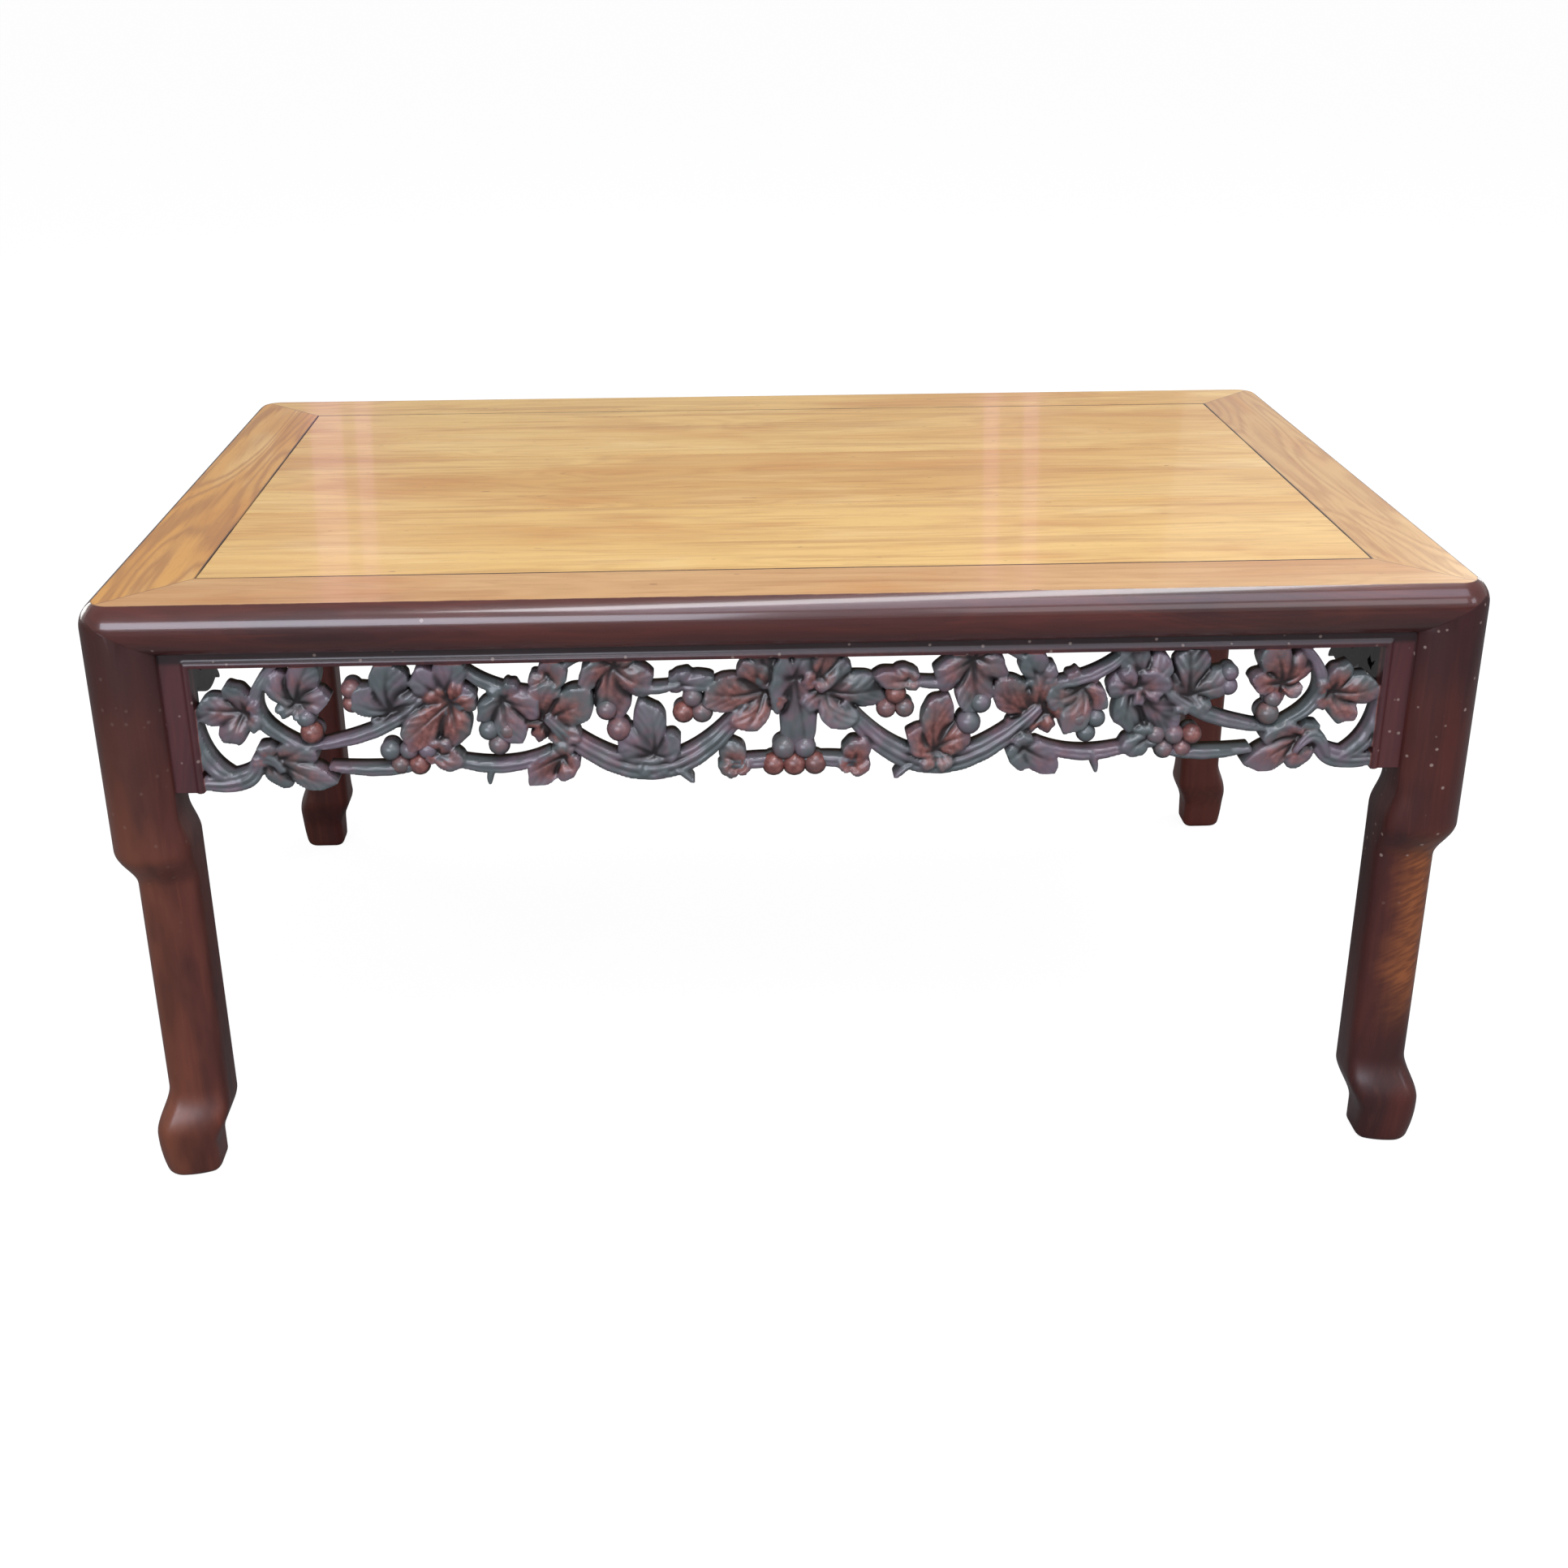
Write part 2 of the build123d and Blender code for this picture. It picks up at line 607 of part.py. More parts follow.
def build():
    """Every piece of the table by name."""
    slab = top_slab()
    front_rail, left_rail = long_rail(slab), short_rail(slab)
    front_apron = apron(LENGTH, HALF_W)
    left_apron = turn_to_left(apron(WIDTH, HALF_L))
    pieces = {
        "rail_front": front_rail,
        "rail_back": mirror(front_rail, about=Plane.XZ),
        "rail_left": left_rail,
        "rail_right": mirror(left_rail, about=Plane.YZ),
        "apron_front": front_apron,
        "apron_back": mirror(front_apron, about=Plane.XZ),
        "apron_left": left_apron,
        "apron_right": mirror(left_apron, about=Plane.YZ),
    }
    for index in range(BOARD_COUNT):
        pieces[f"panel_board_{index + 1}"] = board(index)
    for index, x in enumerate(batten_places()):
        pieces[f"batten_{index + 1}"] = batten(x)
    pieces.update(corners("leg", leg()))
    pieces.update(corners("mitre_pin", mitre_pin()))
    return pieces


os.makedirs("parts", exist_ok=True)
for node, piece in build().items():
    export_step(piece, f"parts/{node}.step")
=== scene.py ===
import random
from math import asin, cos, pi, radians, sin, sqrt

import bmesh
import bpy
import numpy as np
from mathutils import Matrix, Vector
from mathutils.geometry import delaunay_2d_cdt

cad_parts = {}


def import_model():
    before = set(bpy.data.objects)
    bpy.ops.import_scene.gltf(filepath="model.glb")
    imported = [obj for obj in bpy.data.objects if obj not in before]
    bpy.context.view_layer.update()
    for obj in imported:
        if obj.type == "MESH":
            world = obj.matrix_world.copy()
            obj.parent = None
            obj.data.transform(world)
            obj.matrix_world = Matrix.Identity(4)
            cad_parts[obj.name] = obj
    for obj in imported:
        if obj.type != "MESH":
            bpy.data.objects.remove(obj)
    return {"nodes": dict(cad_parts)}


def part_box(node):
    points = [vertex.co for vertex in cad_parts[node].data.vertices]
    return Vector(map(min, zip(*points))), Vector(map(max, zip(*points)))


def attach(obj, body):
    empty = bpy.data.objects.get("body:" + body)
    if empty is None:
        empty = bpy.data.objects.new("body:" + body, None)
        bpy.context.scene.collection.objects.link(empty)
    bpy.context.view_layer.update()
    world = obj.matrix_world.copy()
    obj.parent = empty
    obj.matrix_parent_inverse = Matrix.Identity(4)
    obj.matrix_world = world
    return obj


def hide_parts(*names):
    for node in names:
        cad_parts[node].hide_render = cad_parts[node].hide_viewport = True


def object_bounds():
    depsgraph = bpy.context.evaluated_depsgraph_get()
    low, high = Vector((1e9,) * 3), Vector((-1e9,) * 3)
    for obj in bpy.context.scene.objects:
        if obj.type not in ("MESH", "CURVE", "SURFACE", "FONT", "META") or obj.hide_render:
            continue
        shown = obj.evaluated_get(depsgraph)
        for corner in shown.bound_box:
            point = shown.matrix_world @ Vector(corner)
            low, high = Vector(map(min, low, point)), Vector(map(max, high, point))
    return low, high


# A low altar table in hardwood: honey-gold framed top, dark rounded edge, dark legs and carved aprons.
# Sizes are in millimetres and are turned to metres where a mesh or a material is made.
# X runs along the length, Y to the back, Z up; a front piece faces -Y.
MM = 0.001

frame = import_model()
cad_low, cad_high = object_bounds()
BODY = "root"

# Sizes read from the frame
HALF_L = cad_high.x / MM
HALF_W = cad_high.y / MM
HEIGHT = cad_high.z / MM
rail_low, rail_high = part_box("rail_front")
RAIL_BOTTOM = rail_low.z / MM
RAIL_THICK = HEIGHT - RAIL_BOTTOM
RAIL_WIDTH = (rail_high.y - rail_low.y) / MM
apron_low, apron_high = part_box("apron_front")
APRON_RECESS = apron_low.y / MM + HALF_W
APRON_THICK = (apron_high.y - apron_low.y) / MM
PANEL_HALF_L = HALF_L - RAIL_WIDTH
PANEL_HALF_W = HALF_W - RAIL_WIDTH

# Sizes of the top's edge and corners
EDGE_BULGE = 10.0
CORNER_RADIUS = 25.0

# Leg sizes: insets of the outer and inner faces from the table's outer planes
LEG_TOP = 51.0
SHANK_INSET = 13.0
SHANK_SIZE = 43.0
FOOT_INSET = 2.5
FOOT_SIZE = 43.0
APRON_DROP = 103.5
APRON_BOTTOM = RAIL_BOTTOM - APRON_DROP
KNEE_LONG = 28.0
KNEE_INNER_TOP = APRON_BOTTOM - 13.5
KNEE_OUTER_TOP = APRON_BOTTOM - 43.5
ANKLE_TOP = 72.0  # the outer faces turn out between these heights
ANKLE_END = 36.0
HEEL_TOP = 54.0  # and the inner faces follow lower down
HEEL_END = 22.0
LEG_BOW = 10.0
SHANK_BOW = 7.0
SHANK_CORNER = 13.0
INNER_ROUND = 8.0
EDGE_ROUND_TOP = 1.5  # rounding of the edges beside the aprons, and what it gains below them
EDGE_ROUND = 7.0
EDGE_STEPS = (0.2, 0.4, 0.6, 0.8, 1.0)
INNER_ANGLES = tuple(pi / 2 * i / 6 for i in range(7))
CORNER_STEPS = 10
FACE_STEPS = 10
FACE_KEPT = 8  # steps of the bowed face before it turns into its inner edge
EDGE_EASE = 1.0
EASED_ANGLE = radians(32)
FOOT_EASE = 5.0
FOOT_ROUND = 34.0  # height over which the hoof draws in to its base
FOOT_TUCK = 4.0
MITRE_START = 4.0

# Apron border
BORDER_TOP = 11.5
BORDER_END = 20.0
BEAD = 2.5
BEAD_RISE = 2.0

# Vine pattern: heights v run up from the bottom of the apron, places x run out from the middle, and
# from the inner edge of the end border back in the end unit.
PATTERN_DROP = 107.0
MIDDLE_PITCH = 142.0
REPEAT_PITCH = 150.0
END_PITCH = 116.0
LEAF_STALK = 0.45
LEAF_GROWTH = 1.06
# Reach of a leaf's rim from one lobe's tip to the next, against an ellipse
RIM_PLACES = (0.0, 0.14, 0.33, 0.5, 0.66, 0.8, 1.0)
RIM_REACH = (1.08, 1.02, 1.0, 0.9, 0.68, 0.86, 1.08)
STEM_END = 0.55
STEM_STEPS = 28
GROOVED_STEM = 8.0
SCROLL_STEM = 14.0
BERRY_PITCH = 1.7
BERRY_ROW = 0.87
# A leaf is (x, v, along, across, turn, lobes); a stem is (start, middle, end, width);
# a bunch is (x, v, berry radius, how many berries in each row from the top row down).
MIDDLE_LEAVES = (
    (0, 60, 76, 34, 270, 3),
    (33, 66, 54, 46, 350, 5),
    (21, 87, 38, 24, 60, 3),
    (43, 17, 26, 24, 60, 3),
    (72, 77, 30, 18, 170, 3),
    (101, 33, 52, 40, 80, 5),
    (122, 78, 50, 46, 265, 5),
    (163, 56, 50, 46, 140, 5),
    (167, 15, 38, 28, 320, 3),
)
MIDDLE_STEMS = (
    ((35, 56), (98, 11), (168, 50), 17),
    ((112, 75), (98, 72), (80, 75), 7),
    ((46, 14), (28, 14), (8, 16), 9),
    ((82, 10), (76, 6), (71, 1), 5),
)
MIDDLE_BUNCHES = (
    (70, 65, 7.5, (1, 2)),
    (129, 57, 8.0, (1,)),
    (121, 42, 9.0, (1,)),
)
CENTRE_BUNCH = (0, 25, 8.5, (2, 3))
REPEAT_LEAVES = (
    (26, 82, 28, 26, 100, 3),
    (54, 57, 42, 40, 250, 5),
    (98, 78, 46, 40, 100, 5),
    (102, 54, 58, 44, 311, 5),
    (136, 70, 46, 46, 80, 5),
    (100, 25, 26, 22, 200, 3),
)
REPEAT_STEMS = (
    ((2, 98), (14, 92), (26, 82), 6),
    ((26, 70), (62, 75), (88, 94), 8),
    ((28, 25), (62, 15), (104, 24), 9),
    ((66, 18), (69, 10), (70, 3), 5),
    ((114, 66), (146, 44), (192, 33), 9),
    ((116, 18), (144, 14), (178, 17), 8),
)
REPEAT_BUNCHES = (
    (62, 43, 7.5, (2, 1)),
    (160, 76, 7.0, (1, 1)),
    (124, 29, 7.5, (3, 2)),
)
END_LEAVES = (
    (70, 77, 44, 40, 80, 5),
    (23, 59, 42, 40, 185, 5),
    (62, 18, 54, 34, 340, 5),
)
END_STEMS = (
    ((74, 32), (41, 60), (58, 98), 9),
    ((54, 16), (42, 26), (32, 12), 9),
    ((38, 20), (24, 8), (-6, 8), 14),
    ((-2, 56), (3, 25), (24, 8), 12),
)
END_BUNCHES = (
    (74, 55, 7.0, (1,)),
    (77, 44, 9.0, (1,)),
)


# ---- nodes and sockets

# Socket numbers of a Mix node that mixes colours: factor and two colours in, one colour out
MIX_INPUTS = 0, 6, 7
MIX_RESULT = 2


def fill(tree, target, value):
    """Links a socket from another one, or sets it to a plain value."""
    value = value.socket if isinstance(value, Shade) else value
    if isinstance(value, bpy.types.NodeSocket):
        tree.links.new(value, target)
    else:
        target.default_value = value


def put(tree, kind, settings=None, sockets=None):
    """Adds a node, sets its properties, then fills its sockets from values or links."""
    node = tree.nodes.new(kind)
    for name, value in (settings or {}).items():
        setattr(node, name, value)
    for key, value in (sockets or {}).items():
        fill(tree, node.inputs[key], value)
    return node


class Shade:
    """A number socket in a material; an operator on it adds a Math node."""

    def __init__(self, tree, socket):
        self.tree = tree
        self.socket = socket

    def math(self, operation, *others):
        sockets = dict(enumerate((self, *others)))
        node = put(self.tree, "ShaderNodeMath", {"operation": operation}, sockets)
        return Shade(self.tree, node.outputs[0])

    def __add__(self, other):
        return self.math("ADD", other)

    def __sub__(self, other):
        return self.math("SUBTRACT", other)

    def __mul__(self, other):
        return self.math("MULTIPLY", other)

    def __rsub__(self, other):
        return (self * -1).math("ADD", other)

    __radd__ = __add__
    __rmul__ = __mul__

    def size(self):
        """The number without its sign."""
        return self.math("ABSOLUTE")

    def at_least(self, other):
        return self.math("MAXIMUM", other)

    def at_most(self, other):
        return self.math("MINIMUM", other)

    def step(self, low, high):
        """0 below low and 1 above high, smooth between; swapped values turn it round."""
        sockets = {"Value": self, "From Min": low, "From Max": high}
        node = put(self.tree, "ShaderNodeMapRange", {"interpolation_type": "SMOOTHSTEP"}, sockets)
        return Shade(self.tree, node.outputs["Result"])


def srgb(red, green, blue):
    """A colour from its 0 to 255 screen values."""
    linear = []
    for level in (red, green, blue):
        share = level / 255
        linear.append(share / 12.92 if share < 0.04045 else ((share + 0.055) / 1.055) ** 2.4)
    return (*linear, 1.0)


class Finish:
    """A material being built: its tree, its object coordinates and its surface shader."""

    def __init__(self, name):
        self.material = bpy.data.materials.new(name)
        self.material.use_nodes = True
        self.tree = self.material.node_tree
        self.surface = self.tree.nodes["Principled BSDF"]
        self.place = self.put("ShaderNodeTexCoord").outputs["Object"]
        split = self.put("ShaderNodeSeparateXYZ", None, {0: self.place})
        self.x, self.y, self.z = [Shade(self.tree, socket) for socket in split.outputs]

    def put(self, kind, settings=None, sockets=None):
        return put(self.tree, kind, settings, sockets)

    def noise(self, scale, detail=3.0, roughness=0.55, distortion=0.0, turn=(0, 0, 0), shift=(0, 0, 0)):
        """Noise on object coordinates turned, shifted and scaled, in metres times scale."""
        place = {"Vector": self.place, "Rotation": turn, "Location": shift}
        turned = self.put("ShaderNodeMapping", None, place).outputs[0]
        scaled = self.put("ShaderNodeMapping", None, {"Vector": turned, "Scale": scale}).outputs[0]
        look = {"Scale": 1.0, "Detail": detail, "Roughness": roughness, "Distortion": distortion}
        node = self.put("ShaderNodeTexNoise", None, {"Vector": scaled, **look})
        return Shade(self.tree, node.outputs[0])

    def mix(self, share, first, second):
        """Two colours mixed by a share from 0 to 1."""
        sockets = dict(zip(MIX_INPUTS, (share, first, second)))
        return self.put("ShaderNodeMix", {"data_type": "RGBA"}, sockets).outputs[MIX_RESULT]

    def bump(self, height, distance, strength):
        """The normal of a fine relief, whose distance is in metres."""
        sockets = {"Height": height, "Distance": distance, "Strength": strength}
        return self.put("ShaderNodeBump", None, sockets).outputs[0]

    def set(self, **sockets):
        """Fills the surface shader's sockets; underscores in a name stand for spaces."""
        for name, value in sockets.items():
            fill(self.tree, self.surface.inputs[name.replace("_", " ")], value)
        return self.material


# ---- wood finishes

# Turns object coordinates so that the grain runs along the coordinate system's first axis
GRAIN_TURN = {"x": (0, 0, 0), "y": (0, 0, radians(-90)), "z": (0, radians(90), 0)}

HONEY_LIGHT = srgb(230, 188, 112)
HONEY = srgb(212, 160, 82)
HONEY_DEEP = srgb(166, 108, 52)
HONEY_PALE = srgb(246, 214, 150)
HONEY_AMBER = srgb(196, 124, 44)
HONEY_PORE = srgb(112, 66, 34)
STAIN = srgb(64, 27, 23)
STAIN_RED = srgb(100, 42, 32)
STAIN_WORN = srgb(136, 70, 46)
JOINT_DIRT = srgb(58, 34, 24)
STAIN_RING, STAIN_PORE, BARE_CHIP = srgb(40, 17, 15), srgb(28, 14, 12), srgb(184, 164, 152)
EDGE_STAIN, MOTTLE, LEG_SHADE_COLOUR = srgb(40, 20, 26), srgb(40, 20, 22), srgb(42, 22, 26)
RUBBED_AND_LIT, RUBBED_AND_LIT_OUTER, PATCH = srgb(128, 70, 56), srgb(138, 84, 56), srgb(160, 94, 52)
PATINA_GREEN, PATINA_VIOLET = srgb(90, 98, 98), srgb(112, 100, 110)
CARVED_RED, CARVED_PINK = srgb(104, 58, 52), srgb(142, 92, 84)
HOLLOW_SHADE, BORDER_STAIN, RAIL_SHADOW_COLOUR = srgb(20, 15, 16), srgb(56, 40, 50), srgb(22, 14, 16)
UNDER_DARK, UNDER_LIGHT = srgb(96, 62, 42), srgb(128, 88, 60)
UNDER_RING, UNDER_STREAK = srgb(72, 46, 32), srgb(66, 42, 30)
PANEL_COAT_ROUGHNESS = 0.06
RAIL_COAT_ROUGHNESS = 0.11
DARK_COAT_ROUGHNESS = 0.22


def grain(finish, along, shift, scale=1.0):
    """Numbers from 0 to 1 for a wood: broad figure, growth rings, streaks along the grain, pores."""
    turn = GRAIN_TURN[along]
    figure = finish.noise((1.8 * scale, 12 * scale, 12 * scale), 2.0, 0.5, 0.9, turn, shift)
    streaks = finish.noise((9, 230, 230), 3.0, 0.6, 0.3, turn, shift)
    pores = finish.noise((60, 1100, 1100), 2.0, 0.5, 0.0, turn, shift)
    rings = (figure * 95 + streaks * 5).math("SINE") * 0.5 + 0.5
    return figure, rings, streaks, pores


def polish(finish, height, roughness, coat, coat_roughness, shine=0.5):
    """A lacquered surface over a fine relief."""
    return finish.set(
        Normal=finish.bump(height, 0.0004, 0.3),
        Roughness=roughness,
        Coat_Weight=coat,
        Coat_Roughness=coat_roughness,
        Specular_IOR_Level=shine,
    )


def joint_lines(finish, colour):
    """Lays dark dirt along the line round the panel and along the mitres of the frame."""
    from_x = finish.x.size() - PANEL_HALF_L * MM
    from_y = finish.y.size() - PANEL_HALF_W * MM
    panel_line = from_x.at_least(from_y)
    ragged = finish.noise((90, 90, 90), 2.0) * 0.0006
    filled = finish.noise((6, 9, 9), 1.0).step(0.3, 0.55)
    dirt = (panel_line.size() - ragged).step(0.0011, 0.0004) * (0.4 + filled * 0.5)
    mitre = ((from_x - from_y).size() - ragged * 0.6).step(0.0005, 0.0001) * panel_line.step(0, 0.0001)
    return finish.mix(dirt.at_least(mitre * 0.75), colour, JOINT_DIRT)


def honey_wood(name, along, shift, tint, tint_share, rings_share=0.3, edged=False):
    """Honey-gold polished hardwood, moved towards a tint."""
    finish = Finish(name)
    figure, rings, streaks, pores = grain(finish, along, shift)
    cloud = finish.noise((4.0, 13, 13), 3.0, 0.55, 0.3, GRAIN_TURN[along], shift)
    colour = finish.mix(figure.step(0.36, 0.66), HONEY_LIGHT, HONEY)
    colour = finish.mix(tint_share, colour, tint)
    colour = finish.mix(cloud.step(0.5, 0.7) * 0.5, colour, HONEY_AMBER)
    colour = finish.mix(cloud.step(0.46, 0.3) * 0.4, colour, HONEY_PALE)
    colour = finish.mix(rings * rings * rings_share, colour, HONEY_DEEP)
    bars = finish.noise((3.5, 75, 75), 2.0, 0.6, 0.2, GRAIN_TURN[along], shift)
    colour = finish.mix(bars.step(0.5, 0.72) * 0.34, colour, HONEY_DEEP)
    colour = finish.mix(streaks.step(0.5, 0.8) * 0.5, colour, HONEY_DEEP)
    colour = finish.mix(pores.step(0.6, 0.78) * 0.45, colour, HONEY_PORE)
    colour, gold = joint_lines(finish, colour), 1.0
    if edged:
        colour, gold = rail_edge(finish, colour)
    flecks = finish.noise((70, 260, 260), 1.0, 0.55, 0.0, GRAIN_TURN[along], shift).step(0.76, 0.8)
    finish.set(Base_Color=finish.mix(flecks * gold * 0.6, colour, HONEY_PORE))
    relief = streaks * 0.6 + pores * 0.4
    coat_roughness = RAIL_COAT_ROUGHNESS if edged else PANEL_COAT_ROUGHNESS
    return polish(finish, relief, 0.24 + 0.14 * streaks, 1.0 - 0.6 * gold, coat_roughness)


def inside_edge(finish):
    """Distance in from the table's rounded outline, in metres."""
    round_at = CORNER_RADIUS * MM
    past_x = finish.x.size() - (HALF_L * MM - round_at)
    past_y = finish.y.size() - (HALF_W * MM - round_at)
    out_x, out_y = past_x.at_least(0), past_y.at_least(0)
    corner = (out_x * out_x + out_y * out_y).math("SQRT")
    return round_at - (corner + past_x.at_least(past_y).at_most(0))


def stained(finish, along, shift):
    """The colour of the dark red-brown stain, rubbed here and there to a warmer brown."""
    figure, rings, streaks, pores = grain(finish, along, shift, 1.4)
    colour = finish.mix(figure.step(0.34, 0.68), STAIN, STAIN_RED)
    worn = finish.noise((5, 9, 9), 2.0, shift=shift).step(0.48, 0.75)
    colour = finish.mix(worn * 0.35, colour, STAIN_WORN)
    colour = finish.mix(rings * 0.22, colour, STAIN_RING)
    colour = finish.mix(streaks.step(0.5, 0.8) * 0.3, colour, STAIN_WORN)
    return finish.mix(pores.step(0.6, 0.8) * 0.4, colour, STAIN_PORE), streaks


def specks(finish, scale, size, colour, share):
    """Lays small pale specks over a colour, where the finish is chipped."""
    ragged = finish.noise((200, 200, 200), 1.0) * 0.06
    cells = finish.put("ShaderNodeTexVoronoi", None, {"Vector": finish.place, "Scale": scale})
    near = (Shade(finish.tree, cells.outputs["Distance"]) + ragged - 0.03).step(size, size * 0.5)
    return finish.mix(near * share, colour, BARE_CHIP)


def rail_edge(finish, colour):
    """Lays the dark stain of the rounded edge over the honey-gold top; gives the gold's share too."""
    inward = inside_edge(finish)
    ragged = finish.noise((60, 60, 60), 3.0) * 0.0016
    top = finish.z.step(HEIGHT * MM - 0.0006, HEIGHT * MM - 0.0002)
    gold = (inward + ragged).step(EDGE_BULGE * MM + 0.0003, EDGE_BULGE * MM + 0.0018) * top
    stain, _ = stained(finish, "x", (0.2, 0.1, 0.4))
    stain = finish.mix(0.4, stain, EDGE_STAIN)
    return finish.mix(gold, specks(finish, 32, 0.05, stain, 0.45), colour), gold


def dark_wood(name, along, shift, light, painted_shade, warm, chipped):
    """Dark red-brown polished hardwood; light rubs the stain through and also sets how lit the leg looks,
    painted shade darkens it towards its top and by a share given for each leg, warm shows a figured patch.
    """
    finish = Finish(name)
    colour, streaks = stained(finish, along, shift)
    rubbed = finish.noise((7, 34, 34), 3.0, 0.55, 0.5, GRAIN_TURN[along], shift)
    # The rubbed brown is partly wear and partly painted light: legs that stand in shade get less of it.
    colour = finish.mix(light * (0.45 + 0.9 * rubbed.step(0.3, 0.7)), colour, RUBBED_AND_LIT)
    # Partly wear and partly a painted highlight: the outer side of each leg, whose rounded corner catches
    # the light, is lighter and redder.
    outer = (finish.x.size() + rubbed * 0.02).step(0.44, 0.475)
    colour = finish.mix(outer * light * 0.9, colour, RUBBED_AND_LIT_OUTER)
    mottle = finish.noise((8, 26, 26), 3.0, 0.6, 0.0, GRAIN_TURN[along], shift).step(0.5, 0.72)
    colour = finish.mix(mottle * 0.5, colour, MOTTLE)
    # Painted shade: darker towards the top of the leg, under the top's edge, and all over by a share given
    # for legs that stand in shade.
    colour = finish.mix((finish.z.step(0.24, 0.42) * 0.78).at_least(painted_shade), colour, LEG_SHADE_COLOUR)
    if warm:
        slant = (0, radians(32), 0)
        bands = finish.noise((60, 60, 330), 2.0, 0.5, 0.3, slant, (0.5, 0.5, 0)).step(0.36, 0.62)
        ragged = finish.noise((30, 30, 30), 2.0) * 0.03
        patch = finish.z.step(0.085, 0.15) * finish.z.step(0.275, 0.235)
        patch = patch * (finish.x + ragged).step(0.444, 0.474) * (finish.y + ragged).step(-0.25, -0.28)
        colour = finish.mix(patch * warm * (0.5 + bands * 0.5), colour, PATCH)
    colour = specks(finish, 95, 0.16, colour, finish.z.step(0.19, 0.24) * chipped)
    finish.set(Base_Color=colour)
    return polish(finish, streaks, 0.32 + 0.1 * streaks, 0.5, DARK_COAT_ROUGHNESS, 0.35)


def attribute(finish, name):
    """A number that is stored on the points of the mesh."""
    return Shade(finish.tree, finish.put("ShaderNodeAttribute", {"attribute_name": name}).outputs["Fac"])


def carved_wood(name):
    """The carving: grey-green patina, red-brown where it is rubbed, painted shade near black in the
    hollows, and a painted shadow on the border under the rail.
    """
    finish = Finish(name)
    hollow_shade, redness = attribute(finish, "hollow_shade"), attribute(finish, "redness")
    blotch = finish.noise((30, 30, 30), 3.0, 0.6)
    fine = finish.noise((190, 190, 190), 2.0, 0.6)
    grey = finish.mix(blotch.step(0.4, 0.62), PATINA_GREEN, PATINA_VIOLET)
    red = finish.mix(fine.step(0.3, 0.7), CARVED_RED, CARVED_PINK)
    rubbed = (redness + blotch * 1.1 + fine * 0.3 - 0.7).step(0.3, 1.0)
    colour = finish.mix(rubbed, grey, red)
    # Painted shade: the carving darkens towards near black in its sunken places.
    colour = finish.mix(hollow_shade.step(0.28, 0.64) * 0.95, colour, HOLLOW_SHADE)
    stain, _ = stained(finish, "z", (0.4, 0.2, 0.1))
    stain = finish.mix(0.5, stain, BORDER_STAIN)
    # Painted shadow: the border's upper part, just under the rail's rounded edge, is darkened.
    rail_shadow = finish.z.step((RAIL_BOTTOM - 10) * MM, (RAIL_BOTTOM - 6) * MM)
    stain = specks(finish, 95, 0.14, finish.mix(rail_shadow * 0.8, stain, RAIL_SHADOW_COLOUR), 0.4)
    colour = finish.mix(redness.step(1.2, 1.6), colour, stain)
    finish.set(Base_Color=colour)
    return polish(finish, fine, 0.28 + 0.18 * blotch, 0.5, DARK_COAT_ROUGHNESS)


def hidden_wood(name):
    """Unpolished underside timber."""
    finish = Finish(name)
    figure, rings, streaks, _ = grain(finish, "y", (0.3, 0.1, 0))
    colour = finish.mix(figure.step(0.3, 0.7), UNDER_DARK, UNDER_LIGHT)
    colour = finish.mix(rings * 0.25, colour, UNDER_RING)
    finish.set(Base_Color=finish.mix(streaks.step(0.45, 0.8) * 0.5, colour, UNDER_STREAK))
    return finish.set(Roughness=0.62 + 0.15 * streaks, Normal=finish.bump(streaks, 0.0006, 0.5))


# ---- meshes


def linked(name, data):
    """A new object in the scene."""
    made = bpy.data.objects.new(name, data)
    bpy.context.scene.collection.objects.link(made)
    return made


def turned_outward(builder, mesh):
    """Turns a closed mesh's faces outward, writes it and frees its builder."""
    bmesh.ops.recalc_face_normals(builder, faces=builder.faces)
    builder.to_mesh(mesh)
    builder.free()


def store(mesh, name, values):
    """Stores a number on every point of a mesh."""
    mesh.attributes.new(name, "FLOAT", "POINT").data.foreach_set("value", values)


def ring_faces(rows, columns):
    """Quads between rows of points, each row a closed ring."""
    faces = []
    for i in range(rows - 1):
        low, high = i * columns, (i + 1) * columns
        for j in range(columns):
            k = (j + 1) % columns
            faces.append((low + j, low + k, high + k, high + j))
    return faces


def applied(source, name):
    """A plain mesh object with the modifiers of another one applied; the source is removed."""
    evaluated = source.evaluated_get(bpy.context.evaluated_depsgraph_get())
    mesh = bpy.data.meshes.new_from_object(evaluated)
    mesh.name = name
    bpy.data.objects.remove(source)
    return linked(name, mesh)


def joined(parts, name):
    """One mesh object from several, which are removed."""
    builder = bmesh.new()
    for part in parts:
        builder.from_mesh(part.data)
        bpy.data.objects.remove(part)
    mesh = bpy.data.meshes.new(name)
    builder.to_mesh(mesh)
    builder.free()
    return linked(name, mesh)


# ---- geometry node trees


def geometry_tree(name):
    """A geometry tree with a mesh or curve in and a mesh out."""
    tree = bpy.data.node_groups.new(name, "GeometryNodeTree")
    tree.interface.new_socket("Geometry", in_out="INPUT", socket_type="NodeSocketGeometry")
    tree.interface.new_socket("Geometry", in_out="OUTPUT", socket_type="NodeSocketGeometry")
    return tree


def geometry_input(tree, name, kind, value):
    """A named input of a geometry tree, with its value where none is set."""
    tree.interface.new_socket(name, in_out="INPUT", socket_type=kind).default_value = value


def add_tree(target, tree, **values):
    """Puts a geometry tree on an object and sets its named inputs by their identifiers."""
    modifier = target.modifiers.new(tree.name, "NODES")
    modifier.node_group = tree
    for item in tree.interface.items_tree:
        if item.item_type == "SOCKET" and item.in_out == "INPUT" and item.name in values:
            modifier[item.identifier] = values[item.name]


